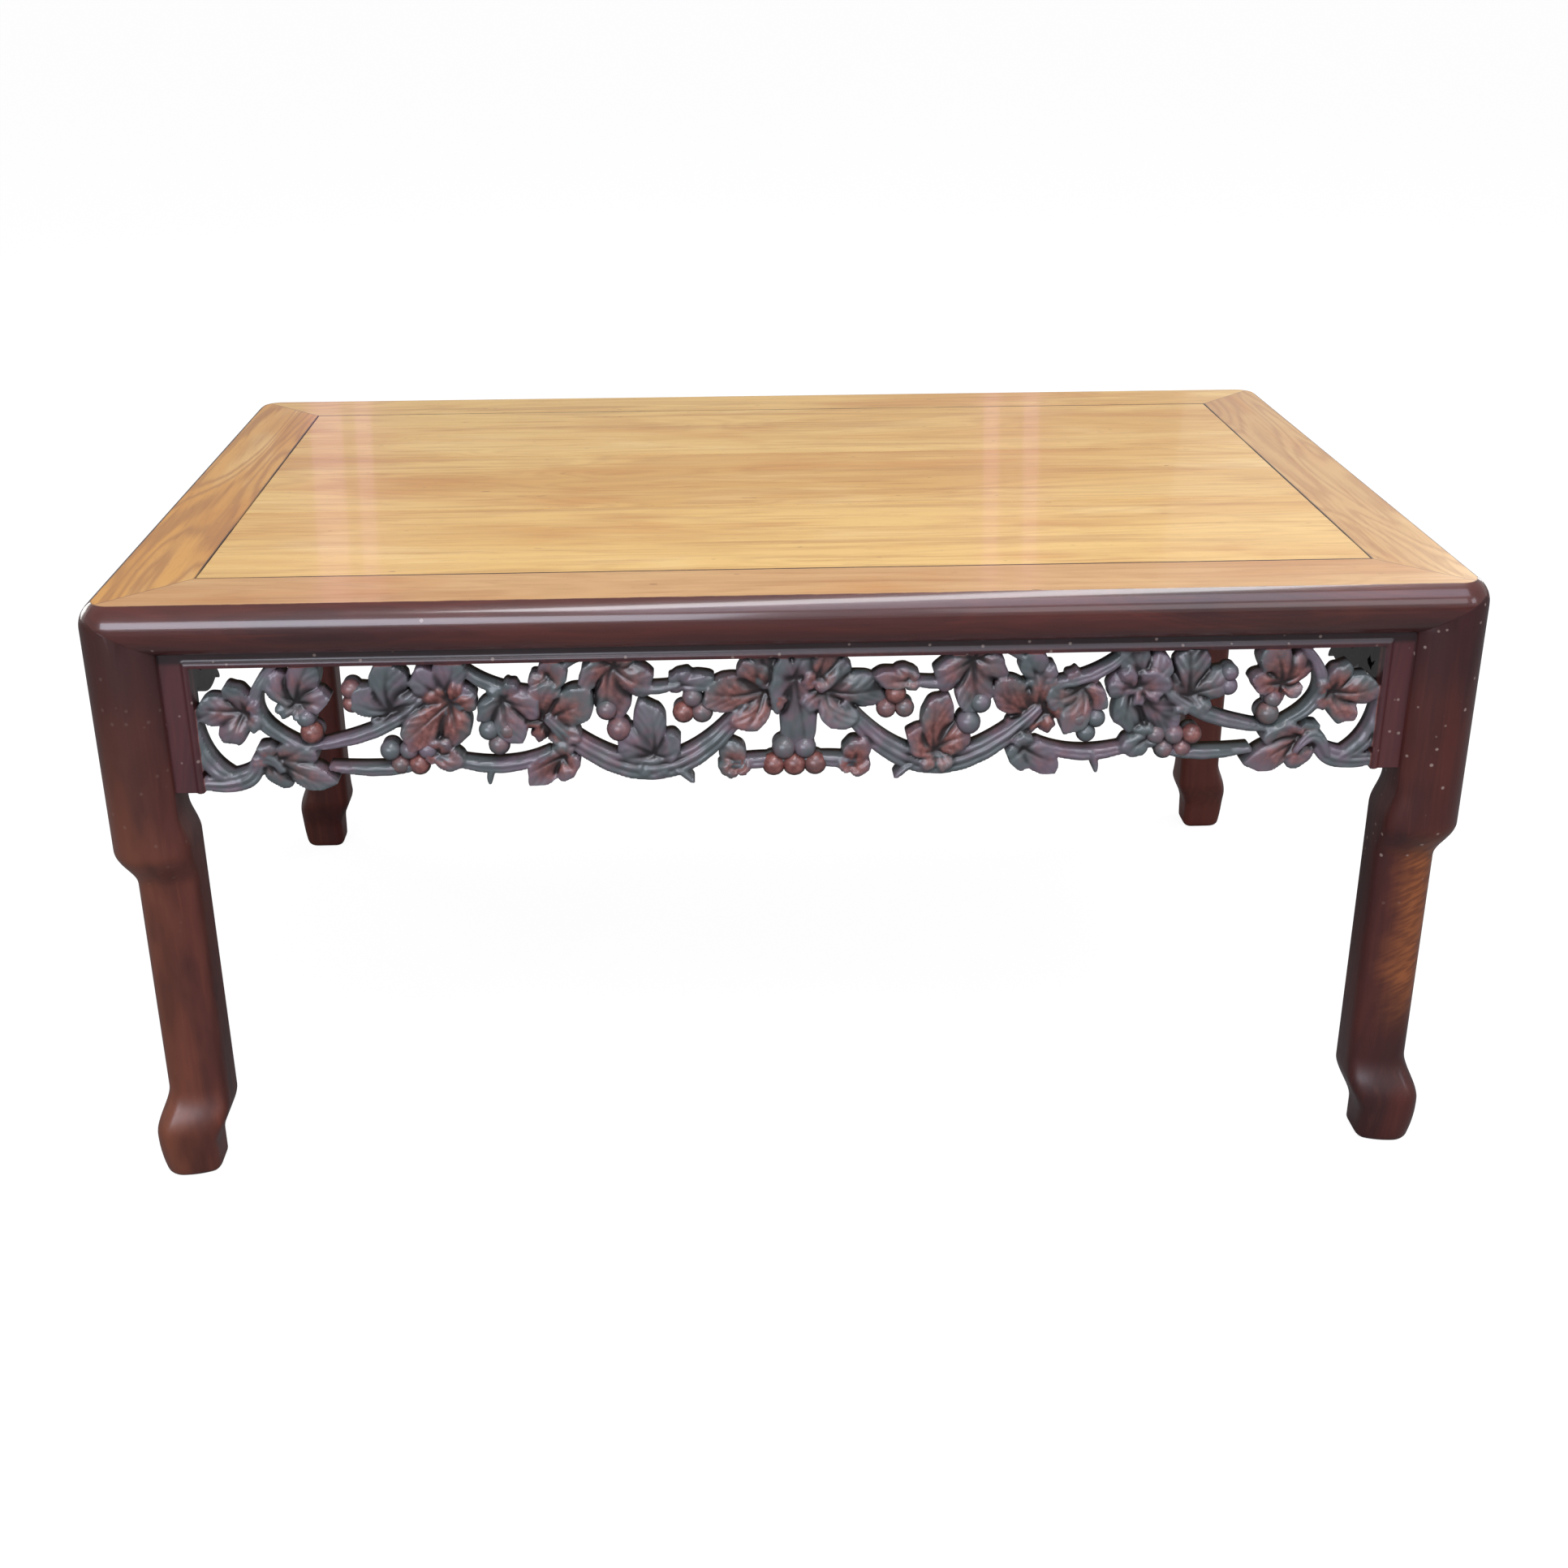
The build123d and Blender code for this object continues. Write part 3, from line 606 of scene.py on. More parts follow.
def smoothing_tree():
    """Joins a node's loose triangles and shades it smooth except across its creases."""
    tree = geometry_tree("joined_and_smoothed")
    geometry_input(tree, "Crease", "NodeSocketFloat", radians(24))
    start = put(tree, "NodeGroupInput")
    close = {"Geometry": start.outputs["Geometry"], "Distance": 1e-5}
    merged = put(tree, "GeometryNodeMergeByDistance", None, close)
    everywhere = {"Geometry": merged.outputs[0], "Shade Smooth": True}
    smooth = put(tree, "GeometryNodeSetShadeSmooth", {"domain": "FACE"}, everywhere)
    angle = put(tree, "GeometryNodeInputMeshEdgeAngle")
    angles = {0: angle.outputs["Unsigned Angle"], 1: start.outputs["Crease"]}
    kind = {"data_type": "FLOAT", "operation": "GREATER_THAN"}
    crease = put(tree, "FunctionNodeCompare", kind, angles)
    creased = {"Geometry": smooth.outputs[0], "Selection": crease.outputs[0], "Shade Smooth": False}
    sharp = put(tree, "GeometryNodeSetShadeSmooth", {"domain": "EDGE"}, creased)
    put(tree, "NodeGroupOutput", None, {0: sharp.outputs[0]})
    return tree


def berry_tree():
    """A round berry on every point, as large as the point's radius attribute says."""
    tree = geometry_tree("berries_on_points")
    geometry_input(tree, "Segments", "NodeSocketInt", BERRY_SEGMENTS)
    start = put(tree, "NodeGroupInput")
    ball = {"Segments": start.outputs["Segments"], "Rings": BERRY_RINGS, "Radius": 1.0}
    berry = put(tree, "GeometryNodeMeshUVSphere", None, ball)
    radius = put(tree, "GeometryNodeInputNamedAttribute", {"data_type": "FLOAT"}, {"Name": "radius"})
    places = {"Points": start.outputs["Geometry"], "Instance": berry.outputs[0], "Scale": radius.outputs[0]}
    spread = put(tree, "GeometryNodeInstanceOnPoints", None, places)
    real = put(tree, "GeometryNodeRealizeInstances", None, {0: spread.outputs[0]})
    coated = put(tree, "GeometryNodeSetMaterial", None, {"Geometry": real.outputs[0]})
    put(tree, "NodeGroupOutput", None, {0: coated.outputs[0]})
    return tree


# ---- carved aprons

GRID_STEP = 1.0
FACE_LEVEL = APRON_THICK
ROUNDING = 2.2
RIM_SHARE = 0.02, 0.98  # a rim point keeps off the grid points, so no sliver is made
RIM_LOWEST = 2.0
# The flat back of a board gets painted shade as well.
BACK_SHADE = 0.8
BACK_REDNESS = 0.5
MARGIN = 3.0  # the grid reaches this far past the board
BERRY_LIFT = 0.25  # share of a berry's radius that its middle stands above BERRY_LEVEL
BERRY_BACKING = 0.93
BERRY_SEGMENTS = 16
BERRY_RINGS = 10
LONG_SEED = 11
SHORT_SEED = 23
CARVING_CREASE = radians(52)
LEAF_LEVEL = 15.4
STEM_LEVEL = 12.6
BERRY_LEVEL = 9.0
OVERRUN = 0.8  # the board runs this far into its rail and legs, so no light shows between them
PLAIN = 2.0  # redness of the plain border, which carries no patina


def round_over(inside, radius=ROUNDING):
    """How far a rounded edge falls at a distance inside its outline."""
    share = 1 - np.clip(inside / radius, 0, 1)
    return radius * (1 - np.sqrt(1 - share * share))


class Relief:
    """A carved board on a grid: how far each point is inside the wood, and its height from the back."""

    def __init__(self, half, drop):
        columns = round(2 * (half + MARGIN) / GRID_STEP)
        rows = round((drop + 2 * MARGIN) / GRID_STEP)
        x = np.linspace(-half - MARGIN, half + MARGIN, columns + 1)
        v = np.linspace(-MARGIN, drop + MARGIN, rows + 1)
        self.x, self.v = np.meshgrid(x, v)
        self.inside = np.full(self.x.shape, -9.0)
        self.height = np.zeros(self.x.shape)
        self.redness = np.zeros(self.x.shape)
        self.half, self.drop = half, drop

    def near(self, x, v, reach):
        """The window of the grid within a reach of a place."""
        columns = np.flatnonzero(np.abs(self.x[0] - x) <= reach)
        rows = np.flatnonzero(np.abs(self.v[:, 0] - v) <= reach)
        return np.s_[rows[0] : rows[-1] + 1, columns[0] : columns[-1] + 1]

    def add(self, window, inside, height, redness):
        """Lays one carved form on the board; the higher one shows."""
        shown = (inside > 0) & (height > self.height[window])
        self.height[window] = np.where(shown, height, self.height[window])
        self.redness[window] = np.where(shown, redness, self.redness[window])
        self.inside[window] = np.maximum(self.inside[window], inside)

    def trim(self):
        """Cuts what stands past the board's ends and its top and bottom edges."""
        to_ends = self.half + OVERRUN - np.abs(self.x)
        to_edges = np.minimum(self.v, self.drop + OVERRUN - self.v)
        self.inside = np.minimum(self.inside, np.minimum(to_ends, to_edges))

    def soften(self):
        """Rubs the carving down a little, as scrapers and years of polish do."""
        wood = (self.inside > 0).astype(float)
        height, weight = self.height * wood, wood
        for axis in (0, 1):
            height = height * 2 + np.roll(height, 1, axis) + np.roll(height, -1, axis)
            weight = weight * 2 + np.roll(weight, 1, axis) + np.roll(weight, -1, axis)
        self.height = np.where(wood > 0, height / np.maximum(weight, 1), 0)

    def shade_in_hollows(self):
        """Painted shade for the carving: 0 on the proud edges to 1 in the sunken places, from the heights
        round each point.
        """
        wide = self.height
        for axis in (0, 1):
            for reach in (2, 3, 4):
                wide = sum(np.roll(wide, k, axis) for k in range(-reach, reach + 1)) / (2 * reach + 1)
        depth = 1 - self.height / FACE_LEVEL
        return np.clip(0.34 + 0.55 * depth + (wide - self.height) / 6.5, 0, 1)


def carve_border(relief):
    """The plain border along the top and both ends, with a round bead along its inner edges."""
    to_ends = relief.half + 2 - np.abs(relief.x)
    inner = np.maximum(np.abs(relief.x) - relief.half + BORDER_END, relief.v - relief.drop + BORDER_TOP)
    outer = np.minimum(np.minimum(to_ends, relief.drop + 2 - relief.v), relief.v + 2)
    bead = np.sqrt(np.clip(1 - (inner / BEAD - 1) ** 2, 0, 1))
    border = inner > 0
    relief.height = np.where(border, FACE_LEVEL - BEAD_RISE * (1 - bead), relief.height)
    relief.redness = np.where(border, PLAIN, relief.redness)
    relief.inside = np.maximum(relief.inside, np.minimum(inner, outer))


def carve_leaf(relief, draw, x, v, along, across, turn, lobes, flip):
    """A vine leaf: folded lobes that spread from its stalk, each with a vein and a curled tip."""
    along, across = along * LEAF_GROWTH, across * LEAF_GROWTH
    window = relief.near(x, v, max(along, across) / 2 + 4)
    c, s = cos(radians(turn)), sin(radians(turn))
    dx, dv = relief.x[window] - x, relief.v[window] - v
    p, q = (dx * c + dv * s) + LEAF_STALK * along / 2, flip * (dv * c - dx * s)
    distance = np.hypot(p, q)
    angle = np.arctan2(q / across, p / along)
    to_ellipse = LEAF_STALK * np.cos(angle) + np.sqrt(1 - (LEAF_STALK * np.sin(angle)) ** 2)
    turns = angle * lobes / (2 * pi)
    rim = to_ellipse * np.interp(turns % 1, RIM_PLACES, RIM_REACH)
    rim = rim + 0.02 * np.cos(13 * angle + draw.uniform(0, 6))
    share = np.hypot(p / along, q / across) * 2 / rim
    inside = (1 / np.maximum(share, 1e-3) - 1) * distance

    out = np.clip(share, 0, 1)
    size = min(along, across) / 42
    rise = np.array([draw.uniform(-2.2, 1.2) for _ in range(lobes)])
    curl = np.array([draw.uniform(-3.2, 2.4) for _ in range(lobes)])
    fold = np.array([draw.uniform(-0.55, 0.55) for _ in range(lobes)])
    turns = turns + 1 / 3 + draw.uniform(-0.5, 0.5) * (1 - out) ** 1.4
    lobe = np.floor(turns).astype(int) % lobes
    place = (turns - np.floor(turns)) * 2 - 1
    aside = place * (pi / lobes) * distance
    crown = place - fold[lobe] * (1 - out)
    cushion = (2.6 + 1.6 * size) * np.sqrt(np.clip(1 - crown * crown, 0, 1)) * np.clip(out * 1.7, 0, 1)
    vein = 1.5 * np.exp(-(((aside - 0.8) / 1.3) ** 2)) * np.clip(1.25 - out, 0, 1)
    ribs = 0.28 * np.cos((distance - 1.5 * np.abs(aside)) * 0.75) * np.clip(np.abs(aside) / 4, 0, 1)
    lobe_set = rise[lobe] * np.clip(out * 1.4, 0, 1) + curl[lobe] * np.clip((out - 0.45) / 0.55, 0, 1) ** 2
    lean = draw.uniform(-0.1, 0.1) * dx + draw.uniform(-0.1, 0.1) * dv
    level = LEAF_LEVEL - 2.6 * size + draw.uniform(-0.9, 0.7) + cushion - vein
    level = level + ribs * size + lobe_set + lean
    level = np.clip(level, 6.0, FACE_LEVEL - 0.1)
    redness = draw.uniform(0.3, 1.0) * np.clip(1.5 - out, 0, 1)
    relief.add(window, inside, level - round_over(inside), redness)


def carve_stem(relief, draw, start, middle, end, width):
    """A stem on a curve through three places, with a groove between two ridges if it is wide."""
    start, middle, end = Vector(start), Vector(middle), Vector(end)
    bend = 2 * middle - (start + end) / 2
    reach = max((start - middle).length, (end - middle).length) + width
    window = relief.near(middle.x, middle.y, reach)
    x, v = relief.x[window], relief.v[window]
    places = [
        (1 - t) ** 2 * start + 2 * t * (1 - t) * bend + t * t * end
        for t in (i / STEM_STEPS for i in range(STEM_STEPS + 1))
    ]
    best = np.full(x.shape, -99.0)
    across = np.ones(x.shape)
    travel = np.zeros(x.shape)
    for i in range(STEM_STEPS):
        near, step = places[i], places[i + 1] - places[i]
        along = np.clip(((x - near.x) * step.x + (v - near.y) * step.y) / step.length_squared, 0, 1)
        t = (i + along) / STEM_STEPS
        half = width / 2 * (STEM_END + (1 - STEM_END) * (1 - (2 * t - 1) ** 2))
        away_x, away_v = x - near.x - along * step.x, v - near.y - along * step.y
        inside = half - np.hypot(away_x, away_v)
        side = (away_v * step.x - away_x * step.y) / step.length / half
        across = np.where(inside > best, side, across)
        travel = np.where(inside > best, t * (end - start).length, travel)
        best = np.maximum(inside, best)
    level = STEM_LEVEL + draw.uniform(-0.6, 1.2)
    arch = 3.2 * np.sqrt(np.clip(1 - across * across, 0, 1))
    knots = 0.35 * np.cos(travel * 0.42 + draw.uniform(0, 6))
    grooves = (-0.38, 0.36) if width >= SCROLL_STEM else (0.15,) if width >= GROOVED_STEM else ()
    for groove in grooves:
        knots = knots - 1.7 * np.exp(-(((across - groove) / 0.17) ** 2))
    relief.add(window, best, level + arch + knots - round_over(best, 1.2), 0.12 + 0.3 * draw.random())


def bunch_places(x, v, radius, rows):
    """The middle of every berry of a bunch."""
    pitch = BERRY_PITCH * radius
    for level, count in enumerate(rows):
        for i in range(count):
            yield x + (i - (count - 1) / 2) * pitch, v - level * BERRY_ROW * pitch


def carve_backing(relief, x, v, radius):
    """The wood behind a berry."""
    window = relief.near(x, v, radius + 2)
    away = np.hypot(relief.x[window] - x, relief.v[window] - v)
    relief.add(window, radius * BERRY_BACKING - away, np.full(away.shape, BERRY_LEVEL), 0.1)


def back_faces(points, outline):
    """Triangles inside a flat outline whose edges run with the wood on their left; holes stay open."""
    flat = delaunay_2d_cdt([Vector(point) for point in points.tolist()], outline, [], 0, 1e-7)
    first_of = [origins[0] for origins in flat[3]]
    faces = [tuple(first_of[i] for i in face) for face in flat[2]]
    sides = {(face[k - 1], face[k]): face for face in faces for k in range(3)}
    borders = set(outline)
    reached = {sides[edge] for edge in outline if edge in sides}
    waiting = list(reached)
    while waiting:
        face = waiting.pop()
        for edge in ((face[k - 1], face[k]) for k in range(3)):
            beyond = None if edge in borders else sides.get(edge[::-1])
            if beyond and beyond not in reached:
                reached.add(beyond)
                waiting.append(beyond)
    return [face for face in faces if face in reached]


def board_mesh(relief, name):
    """A closed board from a relief: carved face, straight walls along every outline, flat back."""
    rows, columns = relief.x.shape
    ids = np.arange(rows * columns).reshape(rows, columns)
    inside, height = relief.inside.ravel(), relief.height.ravel()
    points = np.column_stack((relief.x.ravel(), relief.v.ravel()))
    corners = (0, 0), (0, 1), (1, 1), (1, 0)
    a, b, c, d = (ids[i : rows - 1 + i, j : columns - 1 + j].ravel() for i, j in corners)
    triangles = np.concatenate((np.column_stack((a, b, c)), np.column_stack((a, c, d))))
    wood = inside[triangles] > 0
    count = wood.sum(axis=1)

    def lone(kind):
        """Triangles with one corner unlike the others, turned so that it comes first."""
        some = triangles[count == (1 if kind else 2)]
        which = wood[count == (1 if kind else 2)]
        first = np.argmax(which == kind, axis=1)
        return np.column_stack([some[np.arange(len(some)), (first + k) % 3] for k in range(3)])

    tips, stumps = lone(True), lone(False)
    cuts = np.concatenate((tips[:, [0, 1]], tips[:, [0, 2]], stumps[:, [1, 0]], stumps[:, [2, 0]]))
    keys, where = np.unique(cuts[:, 0] * inside.size + cuts[:, 1], return_inverse=True)
    kept, lost = keys // inside.size, keys % inside.size
    share = np.clip(inside[kept] / (inside[kept] - inside[lost]), *RIM_SHARE)[:, None]
    rim = points[kept] * (1 - share) + points[lost] * share
    drop = ROUNDING - round_over(inside[kept])
    rim_height = np.maximum(height[kept] - drop, RIM_LOWEST)
    where = where + inside.size
    n, m = len(tips), len(stumps)
    one, two = where[:n], where[n : 2 * n]
    three, four = where[2 * n : 2 * n + m], where[2 * n + m :]
    cut = (tips[:, 0], one, two), (three, stumps[:, 1], stumps[:, 2]), (three, stumps[:, 2], four)
    faces = np.concatenate([triangles[count == 3]] + [np.column_stack(corners) for corners in cut])
    rim_edges = np.concatenate((np.column_stack((one, two)), np.column_stack((four, three))))
    # The share of painted shade at each point of the carving.
    hollow_shade = relief.shade_in_hollows().ravel()
    used, compact = np.unique(faces, return_inverse=True)
    faces = compact.reshape(faces.shape)
    rim_edges = np.searchsorted(used, rim_edges)
    place = np.concatenate((points, rim))[used]
    level = np.concatenate((height, rim_height))[used]
    shade = np.concatenate((hollow_shade, hollow_shade[kept]))[used]
    redness = relief.redness.ravel()
    tone = np.concatenate((redness, redness[kept]))[used]

    rim_ids = np.unique(rim_edges)
    back_of = np.full(len(used), -1)
    back_of[rim_ids] = np.arange(len(rim_ids)) + len(used)
    everything = np.column_stack((place[:, 0], -level, place[:, 1]))
    behind = np.column_stack((place[rim_ids, 0], np.zeros(len(rim_ids)), place[rim_ids, 1]))
    walls = [(i, j, back_of[j], back_of[i]) for i, j in rim_edges.tolist()]
    outline = [tuple(edge) for edge in np.searchsorted(rim_ids, rim_edges).tolist()]
    flat = back_faces(place[rim_ids], outline)
    back = [tuple(i + len(used) for i in reversed(face)) for face in flat]
    mesh = bpy.data.meshes.new(name)
    vertices = np.concatenate((everything, behind)) * MM
    mesh.from_pydata(vertices.tolist(), [], faces.tolist() + walls + back)
    store(mesh, "hollow_shade", np.concatenate((shade, np.full(len(rim_ids), BACK_SHADE))))
    store(mesh, "redness", np.concatenate((tone, np.full(len(rim_ids), BACK_REDNESS))))
    builder = bmesh.new()
    builder.from_mesh(mesh)
    turned_outward(builder, mesh)
    return linked(name, mesh)


def unit_items(items, origin, way):
    """A unit's forms, placed from an origin and run out (way 1) or back (way -1)."""
    placed = []
    for item in items:
        if isinstance(item[0], tuple):
            *points, width = item
            placed.append((*[(origin + way * x, v) for x, v in points], width))
        elif len(item) == 6:
            x, v, along, across, turn, lobes = item
            placed.append((origin + way * x, v, along, across, turn if way > 0 else 180 - turn, lobes))
        else:
            x, *rest = item
            placed.append((origin + way * x, *rest))
    return placed


def vine_layout(span):
    """Leaves, stems and bunches of half an apron, and the stretch that fits them to it."""
    repeats = max(0, round((span - MIDDLE_PITCH - END_PITCH) / REPEAT_PITCH))
    drawn = MIDDLE_PITCH + repeats * REPEAT_PITCH + END_PITCH
    units = [((MIDDLE_LEAVES, MIDDLE_STEMS, MIDDLE_BUNCHES), 0, 1)]
    for i in range(repeats):
        units.append(((REPEAT_LEAVES, REPEAT_STEMS, REPEAT_BUNCHES), MIDDLE_PITCH + i * REPEAT_PITCH, 1))
    units.append(((END_LEAVES, END_STEMS, END_BUNCHES), drawn, -1))
    forms = [], [], []
    for unit, origin, way in units:
        for kind, items in zip(forms, unit):
            kind += unit_items(items, origin, way)
    return *forms, span / drawn


def vine_relief(side_length, seed):
    """The relief of an apron and the places of its berries."""
    draw = random.Random(seed)
    half = side_length / 2 - LEG_TOP
    leaves, stems, bunches, stretch = vine_layout(half - BORDER_END)
    tall = APRON_DROP / PATTERN_DROP
    relief = Relief(half, APRON_DROP)
    berries = []
    for way in (-1, 1):
        for *points, width in stems:
            carve_stem(relief, draw, *[(way * x * stretch, v * tall) for x, v in points], width)
        for x, v, along, across, turn, lobes in leaves:
            if x == 0 and way < 0:
                continue
            turn = turn if way > 0 else 180 - turn
            carve_leaf(relief, draw, way * x * stretch, v * tall, along, across, turn, lobes, way)
        for item in bunches + ([CENTRE_BUNCH] if way > 0 else []):
            for x, v in bunch_places(*item):
                berries.append((way * x * stretch, v * tall, item[2] * draw.uniform(0.92, 1.04)))
    for x, v, radius in berries:
        carve_backing(relief, x, v, radius)
    carve_border(relief)
    relief.trim()
    relief.soften()
    return relief, berries


def carved_apron(side_length, name, seed):
    """A carved apron lying in its own frame: x along it, y from its back plane, z from its bottom."""
    relief, berries = vine_relief(side_length, seed)
    return joined([board_mesh(relief, name), berry_mesh(berries, random.Random(seed))], name)


def berry_mesh(berries, draw):
    """Every berry of an apron, from points that carry each berry's radius."""
    mesh = bpy.data.meshes.new("berry_places")
    middles = [(x, -(BERRY_LEVEL + radius * BERRY_LIFT), v) for x, v, radius in berries]
    radii = [berry[2] for berry in berries]
    mesh.from_pydata([tuple(c * MM for c in middle) for middle in middles], [], [])
    store(mesh, "radius", [radius * MM for radius in radii])
    source = linked("berry_places", mesh)
    add_tree(source, berry_tree(), Segments=BERRY_SEGMENTS)
    made = applied(source, "berries")
    places = np.empty(len(made.data.vertices) * 3)
    made.data.vertices.foreach_get("co", places)
    each = len(made.data.vertices) // len(berries)
    away = places.reshape(-1, 3) / MM - np.repeat(middles, each, axis=0)
    away = away / np.repeat(radii, each)[:, None]
    tone = np.repeat([draw.uniform(0.1, 1.0) for _ in berries], each)
    # Painted shade and light on every berry: darker towards its back and bottom, lighter on its upper half.
    store(made.data, "hollow_shade", np.clip(0.62 + 0.5 * away[:, 1] - 0.3 * away[:, 2], 0, 1))
    store(made.data, "redness", tone)
    return made


def set_apron(name, flat, turn, half_depth, material):
    """Copies a carved apron to its side of the table, turned about the table's middle."""
    made = linked(name, flat.data.copy())
    to_face = Matrix.Translation((0, (APRON_RECESS + APRON_THICK - half_depth) * MM, APRON_BOTTOM * MM))
    made.data.transform(Matrix.Rotation(turn, 4, "Z") @ to_face)
    made.data.set_sharp_from_angle(angle=CARVING_CREASE)
    made.data.materials.clear()
    made.data.materials.append(material)
    return made


# ---- legs


def ease(z, start, end):
    """0 above a bend, 1 below it, with level ends."""
    u = min(max((start - z) / (start - end), 0.0), 1.0)
    return u * u * (3 - 2 * u)


def arc_between(start, end, tangent, steps):
    """Points of a circular arc that leaves start along a unit tangent and reaches end."""
    start, end, tangent = Vector(start), Vector(end), Vector(tangent)
    chord = end - start
    normal = Vector((-tangent.y, tangent.x))
    if normal.dot(chord) < 0:
        normal = -normal
    radius = chord.length_squared / (2 * normal.dot(chord))
    middle = start + normal * radius
    sweep = 2 * asin(chord.length / (2 * radius))
    angles = [sweep * i / steps for i in range(steps + 1)]
    return [middle - normal * radius * cos(a) + tangent * radius * sin(a) for a in angles]


def leg_outline(z):
    """The leg's section at a height, a from the outer side face and b from the outer front face."""
    outer_knee = ease(z, KNEE_OUTER_TOP, KNEE_OUTER_TOP - KNEE_LONG)
    inner_knee = ease(z, KNEE_INNER_TOP, KNEE_INNER_TOP - KNEE_LONG)
    ankle, heel = ease(z, ANKLE_TOP, ANKLE_END), ease(z, HEEL_TOP, HEEL_END)
    shank_inner, foot_inner = SHANK_INSET + SHANK_SIZE, FOOT_INSET + FOOT_SIZE
    s = SHANK_INSET * outer_knee + (FOOT_INSET - SHANK_INSET) * ankle
    e = LEG_TOP + (shank_inner - LEG_TOP) * inner_knee + (foot_inner - shank_inner) * heel
    under = max(1 - z / FOOT_ROUND, 0.0)
    s += FOOT_TUCK * under**2
    r = CORNER_RADIUS + (SHANK_CORNER - CORNER_RADIUS) * outer_knee
    bow = LEG_BOW + (SHANK_BOW - LEG_BOW) * outer_knee
    past_middle = HEIGHT - RAIL_THICK / 2
    if z > past_middle:
        inset = edge_inset(HEIGHT - z)
        s, r = s + inset, r - inset
    turns = [pi / 2 * i / CORNER_STEPS for i in range(CORNER_STEPS + 1)]
    corner = [Vector((s + r - r * cos(t), s + r - r * sin(t))) for t in turns]
    face = arc_between((s + r, s), (e, s + bow), (1, 0), FACE_STEPS)[: FACE_KEPT + 1]
    hub, reach = e - INNER_ROUND, INNER_ROUND
    inner_turn = [Vector((hub + reach * cos(t), hub + reach * sin(t))) for t in INNER_ANGLES]
    edge = Vector((e, s + bow))
    below = Vector((e, s + bow + EDGE_ROUND_TOP + EDGE_ROUND * inner_knee))
    turned = [(1 - t) ** 2 * face[-1] + 2 * t * (1 - t) * edge + t * t * below for t in EDGE_STEPS]
    front = face[1:] + turned
    side = [Vector((point.y, point.x)) for point in reversed(front)]
    return corner + front + inner_turn + side


def edge_inset(depth):
    """How far the top's rounded edge lies behind its widest line at a depth from the top."""
    half = RAIL_THICK / 2
    radius = (half * half + EDGE_BULGE * EDGE_BULGE) / (2 * EDGE_BULGE)
    return radius - sqrt(max(radius * radius - (half - depth) ** 2, 0.0))


def shrunk(outline, inset):
    """An outline moved inward by an inset."""
    moved = []
    count = len(outline)
    for i, point in enumerate(outline):
        along = (outline[(i + 1) % count] - outline[i - 1]).normalized()
        moved.append(point + Vector((-along.y, along.x)) * inset)
    return moved


def leg_levels():
    """Heights of the leg's sections, close together through its bends."""
    levels = [0.0, 0.6, 1.4, 2.6, 3.8, FOOT_EASE, 8.0, 12.0, 16.0]
    bends = (
        (HEEL_END, ANKLE_TOP, 22),
        (KNEE_OUTER_TOP - KNEE_LONG, KNEE_INNER_TOP, 24),
        (HEIGHT - RAIL_THICK / 2, HEIGHT - MITRE_START + 3, 8),
    )
    for low, high, steps in bends:
        levels += [low + (high - low) * i / steps for i in range(steps + 1)]
    return sorted(set(levels + [160.0, APRON_BOTTOM, RAIL_BOTTOM]))


def leg_mesh(name, way_x, way_y, material):
    """A leg: round-cornered and bowed, with its head cut by the two mitre planes."""
    rows = []
    for z in leg_levels():
        outline = leg_outline(z)
        if z < FOOT_EASE:
            rise = FOOT_EASE - z
            outline = shrunk(outline, FOOT_EASE - sqrt(FOOT_EASE * FOOT_EASE - rise * rise * 0.96))
        rows.append([((point.x - HALF_L) * MM, (point.y - HALF_W) * MM, z * MM) for point in outline])
    columns = len(rows[0])
    faces = ring_faces(len(rows), columns)
    faces.append(tuple(range(columns)))
    faces.append(tuple(range((len(rows) - 1) * columns, len(rows) * columns)))
    mesh = bpy.data.meshes.new(name)
    mesh.from_pydata([point for row in rows for point in row], [], faces)
    mesh.polygons.foreach_set("use_smooth", [True] * len(faces))
    builder = bmesh.new()
    builder.from_mesh(mesh)
    bmesh.ops.remove_doubles(builder, verts=builder.verts, dist=1e-6)
    peak = Vector((-HALF_L, -HALF_W, HEIGHT - MITRE_START)) * MM
    slope = (RAIL_THICK - MITRE_START) / LEG_TOP
    for normal in (Vector((slope, 0, 1)), Vector((0, slope, 1))):
        everything = builder.verts[:] + builder.edges[:] + builder.faces[:]
        plane = {"plane_co": peak, "plane_no": normal, "clear_outer": True}
        cut = bmesh.ops.bisect_plane(builder, geom=everything, **plane)
        edges = [item for item in cut["geom_cut"] if isinstance(item, bmesh.types.BMEdge)]
        bmesh.ops.edgeloop_fill(builder, edges=edges)
    turn = Matrix.Diagonal((way_x, way_y, 1, 1))
    bmesh.ops.transform(builder, matrix=turn, verts=builder.verts)
    turned_outward(builder, mesh)
    mesh.materials.append(material)
    leg = linked(name, mesh)
    bevel = leg.modifiers.new("eased_edges", "BEVEL")
    bevel.width = EDGE_EASE * MM
    bevel.segments = 2
    bevel.limit_method = "ANGLE"
    bevel.angle_limit = EASED_ANGLE
    return applied(leg, name)


# ---- the table

